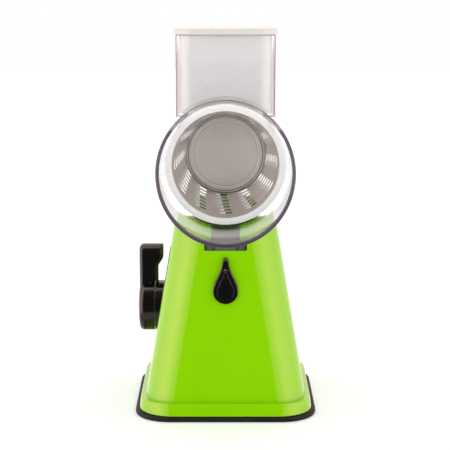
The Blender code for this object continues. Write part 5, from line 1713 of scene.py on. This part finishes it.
    def build_boss(self) -> Piece:
        """The boss behind the disc, with a round way in for the shaft.

        Returns:
            The boss.
        """
        low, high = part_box("drum_hub")
        flange, barrel, way = high.x, self.boss_radius, self.boss_way
        step, floor = low.y + self.boss_flange, high.y - self.boss_depth
        profile = soften(stairs(0, low.y, flange, step, barrel, high.y, way, floor, 0), self.boss_round)
        return turned("drum_boss", profile, Axis.Y, (0, AXIS_Z))

    def build(self, dresser: Dresser) -> None:
        """Builds and finishes the drum.

        Args:
            dresser: what finishes and mounts the pieces.
        """
        dresser.mount(self.build_sheet(), DRUM_STEEL, "drum", "drum_shell")
        dresser.mount(self.build_ring(), BRIGHT_WHITE, "drum", "drum_front_ring")
        dresser.mount(self.build_disc(), DISC_STEEL, "drum", "drum_back_disc")
        dresser.mount(self.build_boss(), WHITE, "drum", "drum_hub")


@dataclass
class Crank:
    """The crank behind the stand: shaft, slanted arm, cap, and the knob on its pin."""

    hub_radius: float = 15 * MM
    hub_front: float = 23.7 * MM
    hub_rear: float = 36.7 * MM
    hub_round: float = 0.9 * MM
    way_radius: float = 6.6 * MM
    way_end: float = 30.7 * MM
    cap_seat: float = 35.0 * MM
    arm_start: float = 26.7 * MM
    tip_start: float = 41.6 * MM
    arm_thickness: float = 7 * MM
    root_half: float = 11 * MM
    tip_half: float = 9 * MM
    least_half: float = 0.8 * MM
    corner: float = 2.2 * MM
    knob_radius: float = 13.5 * MM
    knob_neck: float = 10.5 * MM
    recess_radius: float = 6.4 * MM
    recess_depth: float = 4 * MM
    knob_span: tuple = (0.04, 0.93)
    swell_span: float = 1.05
    swell_curve: float = 0.8
    neck_round: float = 0.6 * MM
    end_round: float = 1.1 * MM
    end_share: float = 0.98
    bore_play: float = 0.1 * MM
    pin_bore: float = 3.85 * MM
    shank_radius: float = 3.5 * MM
    head_height: float = 1.8 * MM
    head_edge: float = 0.6 * MM
    head_flat: float = 0.6
    pin_round: float = 0.5 * MM
    driver_depth: float = 0.7 * MM
    driver_half: float = 0.5 * MM

    def build_hub(self) -> Piece:
        """The arm's hub, with the shaft's way in at its front and the cap's seat at its rear.

        Returns:
            The hub.
        """
        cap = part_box("crank_cap")[1].x + CLEARANCE
        profile = stairs(0, self.way_end, self.way_radius, self.hub_front, self.hub_radius, self.hub_rear,
                         cap, self.cap_seat, 0)
        return turned("crank_hub", soften(profile, self.hub_round, 4), Axis.Y, (0, AXIS_Z), SMOOTH_STEPS)

    def build_arm(self, tip_z: float) -> Piece:
        """The arm: rounded rectangles stacked downwards, slanting back, between two half-round ends.

        Args:
            tip_z: the height of the knob's axis.

        Returns:
            The arm.
        """
        root, tip, length = self.root_half, self.tip_half, AXIS_Z - tip_z
        bend = np.linspace(0, np.pi / 2, 14)
        drop = np.concatenate([
            -root * np.cos(bend[:-1]), np.linspace(0, length, 12), length + tip * np.sin(bend[1:]),
        ])
        even = root + (tip - root) * np.clip(drop / length, 0, 1)
        above = np.clip(-drop / root, 0, 1)
        below = np.clip((drop - length) / tip, 0, 1)
        half = np.maximum(even * np.sqrt(1 - above**2) * np.sqrt(1 - below**2), self.least_half)
        lean = (self.tip_start - self.arm_start) / length
        front = self.arm_start + lean * np.clip(drop, 0, length)
        corner = np.minimum(self.corner, half * ROUND_LIMIT)
        rows = rounded_rows(-half, half, front, front + self.arm_thickness, corner, 6)
        return stacked("crank_bar", at_height(rows, (AXIS_Z - drop)[:, None]), Ends.CAPS)

    def build_knob(self, tip_z: float) -> Piece:
        """The knob: a swelling grip with a recess at its end for the pin's head.

        Args:
            tip_z: the height of the knob's axis.

        Returns:
            The knob.
        """
        low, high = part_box("crank_knob")
        length, neck, full = high.y - low.y, self.knob_neck, self.knob_radius
        start, end = self.knob_span
        share = np.linspace(start, end, 30)
        swell = np.sin(np.pi * np.clip((share - start) / self.swell_span, 0, 1)) ** self.swell_curve
        side = np.stack([neck + (full - neck) * swell, low.y + length * share], axis=-1)
        recess, bottom = self.recess_radius, high.y - self.recess_depth
        bore = self.pin_bore
        inside = soften([(bore, bottom), (bore, low.y), (neck - MM, low.y), tuple(side[0])], self.neck_round)
        outside = soften([
            tuple(side[-1]), (neck * self.end_share, high.y), (recess, high.y), (recess, bottom),
            (bore + self.bore_play, bottom),
        ], self.end_round, 4)
        grip = np.vstack([inside, side[1:], outside[1:]])
        return turned("knob_grip", grip, Axis.Y, (0, tip_z), closed=True)

    def build_cap(self) -> Piece:
        """The cap over the crank's screw, slightly domed.

        Returns:
            The cap.
        """
        low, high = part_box("crank_cap")
        radius = high.x
        out = np.linspace(0, 1, 12)
        dome = np.stack([radius * out, high.y - (high.y - self.hub_rear) * out**2], axis=-1)
        return turned("crank_plug", np.vstack([dome, [(radius, low.y), (0, low.y)]]), Axis.Y, (0, AXIS_Z))

    def build_pin(self, tip_z: float) -> Piece:
        """The knob's headed pin, with a slot across its domed head.

        Args:
            tip_z: the height of the knob's axis.

        Returns:
            The pin.
        """
        low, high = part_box("knob_pin")
        head, shank, seat = high.x, self.shank_radius, high.y - self.head_height
        pin = turned("knob_axle", soften([
            *stairs(0, low.y, shank, seat, head, high.y - self.head_edge), (head * self.head_flat, high.y),
            (0, high.y),
        ], self.pin_round), Axis.Y, (0, tip_z), 64)
        return work(pin, Work.CUT, block(
            "driver_slot", (-head, high.y - self.driver_depth, tip_z - self.driver_half),
            (head, high.y + MM, tip_z + self.driver_half),
        ))

    def build(self, dresser: Dresser) -> None:
        """Builds and finishes the crank and its knob.

        Args:
            dresser: what finishes and mounts the pieces.
        """
        tip_z = middle_height("crank_knob")
        handle = work(self.build_arm(tip_z), Work.JOIN, self.build_hub())
        handle.name = "crank_handle"
        dresser.mount(handle, BLACK, "crank", "crank_arm")
        dresser.mount(self.build_cap(), BLACK, "crank", "crank_cap")
        dresser.mount(self.build_pin(tip_z), PIN_STEEL, "crank", "knob_pin")
        dresser.mount(self.build_knob(tip_z), BLACK, "knob", "crank_knob")
        dresser.keep(PIN_STEEL, "crank_shaft", "crank_screw")


@dataclass
class Studio:
    """The floor, the white tent round the object with its cards and its dark gap, and the camera."""

    lens: float = 109.9
    sensor: float = 36.0
    camera_place: tuple = (-0.0004, -1.0459, 0.3244)
    camera_pitch: float = 79.86
    clip_start: float = 0.01
    floor_half: float = 4.0
    floor_tones: tuple = ((0.94, 0.94, 0.94), (0.96, 0.96, 0.96))
    floor_roughness: float = 0.8
    floor_gloss: float = 0.1
    floor_glow: float = 0.3
    tent_light: float = 0.85
    through_light: float = 2.1
    card_left: float = 3.8
    card_right: float = 3.1
    card_meet: float = 0.15
    card_colour: tuple = (1.0, 0.87, 0.80)
    table_light: float = 0.9
    table_top: tuple = (-0.43, -0.38)
    card_stops: tuple = ((0.0, 0.45), (0.1, 0.43), (0.42, 0.55), (0.62, 0.85), (0.795, 1.0), (0.90, 0.7),
                         (0.955, 0.4), (0.981, 0.27), (0.984, 0.01))

    def build_camera(self) -> None:
        """Sets the camera where the photograph's was."""
        camera = bpy.data.cameras.new("photo_camera")
        camera.lens = self.lens
        camera.sensor_width = self.sensor
        camera.clip_start = self.clip_start
        eye = bpy.data.objects.new("photo_camera", camera)
        eye.location = self.camera_place
        eye.rotation_euler = (math.radians(self.camera_pitch), 0, 0)
        bpy.context.scene.collection.objects.link(eye)
        bpy.context.scene.camera = eye

    def build_floor(self) -> None:
        """Lays the pale floor at the pad's underside."""
        half = self.floor_half
        corners = np.array([(half, half, 0), (-half, half, 0), (-half, -half, 0), (half, -half, 0)])
        mesh = bpy.data.meshes.new("floor")
        mesh.from_pydata(corners.tolist(), [], [(0, 1, 2, 3)])
        floor = add_piece("floor", mesh)
        board = Skin("pale_floor")
        tone = board.noise(board.place(), 3.0)
        mesh.materials.append(board.dress(
            base_color=board.blend(tone, *self.floor_tones),
            roughness=self.floor_roughness,
            specular_ior_level=self.floor_gloss,
            emission_color=(1, 1, 1, 1),
            emission_strength=self.floor_glow,
        ))
        floor.visible_glossy = False

    def build_tent(self) -> None:
        """Makes the world: white to the camera, a plain tent above, and a ring of cards low down for gloss.

        The cards' light follows the cosine of the turn from the camera: dark round the camera, brightest at
        both sides of it, and dim at the back.
        """
        world = bpy.data.worlds.new("tent")
        board = Board(world)
        board.tree.nodes.clear()
        way = board.add("TexCoord").outputs["Generated"]
        across, _, up = board.add("SeparateXYZ", {0: way}).outputs
        level = board.vector("NORMALIZE", board.vector("MULTIPLY", way, (1, 1, 0)))
        turn = board.vector("DOT_PRODUCT", level, (0, -1, 0))
        ring = board.ramp(board.between(turn, 0, 1, -1, 1), self.card_stops)
        side = board.between(across, self.card_left, self.card_right, -self.card_meet, self.card_meet)
        below = board.between(up, 1, 0, *self.table_top)
        path = board.add("LightPath").outputs
        glossy, through, direct = (path[f"Is {kind} Ray"] for kind in ("Glossy", "Transmission", "Camera"))
        shine = board.mixed(below, board.product(ring, side), self.table_light)
        tent = board.mixed(glossy, self.tent_light, shine)
        light = board.mixed(direct, board.mixed(through, tent, self.through_light), 1.0)
        shiny = board.figure("SUBTRACT", glossy, through, use_clamp=True)
        colour = board.blend(shiny, (1, 1, 1), self.card_colour)
        back = board.add("Background", {"Color": colour, "Strength": light}).outputs[0]
        board.add("OutputWorld", {"Surface": back})
        bpy.context.scene.world = world

    def build(self) -> None:
        """Builds the studio."""
        self.build_camera()
        self.build_floor()
        self.build_tent()
        bpy.context.scene.view_settings.view_transform = "Standard"


def main() -> None:
    """Builds the studio and the grater's sub-assemblies."""
    logging.basicConfig(level=logging.INFO, format="%(name)s: %(message)s", force=True)
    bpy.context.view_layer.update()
    dresser = Dresser()
    Studio().build()
    for sub_assembly in (Base(), Stand(), ReleaseLatch(), SuctionLever(), BarrelHopper(), Pusher(),
                         GratingDrum(), Crank()):
        LOG.info("building %s", type(sub_assembly).__name__)
        sub_assembly.build(dresser)


if __name__ == "__main__":
    main()
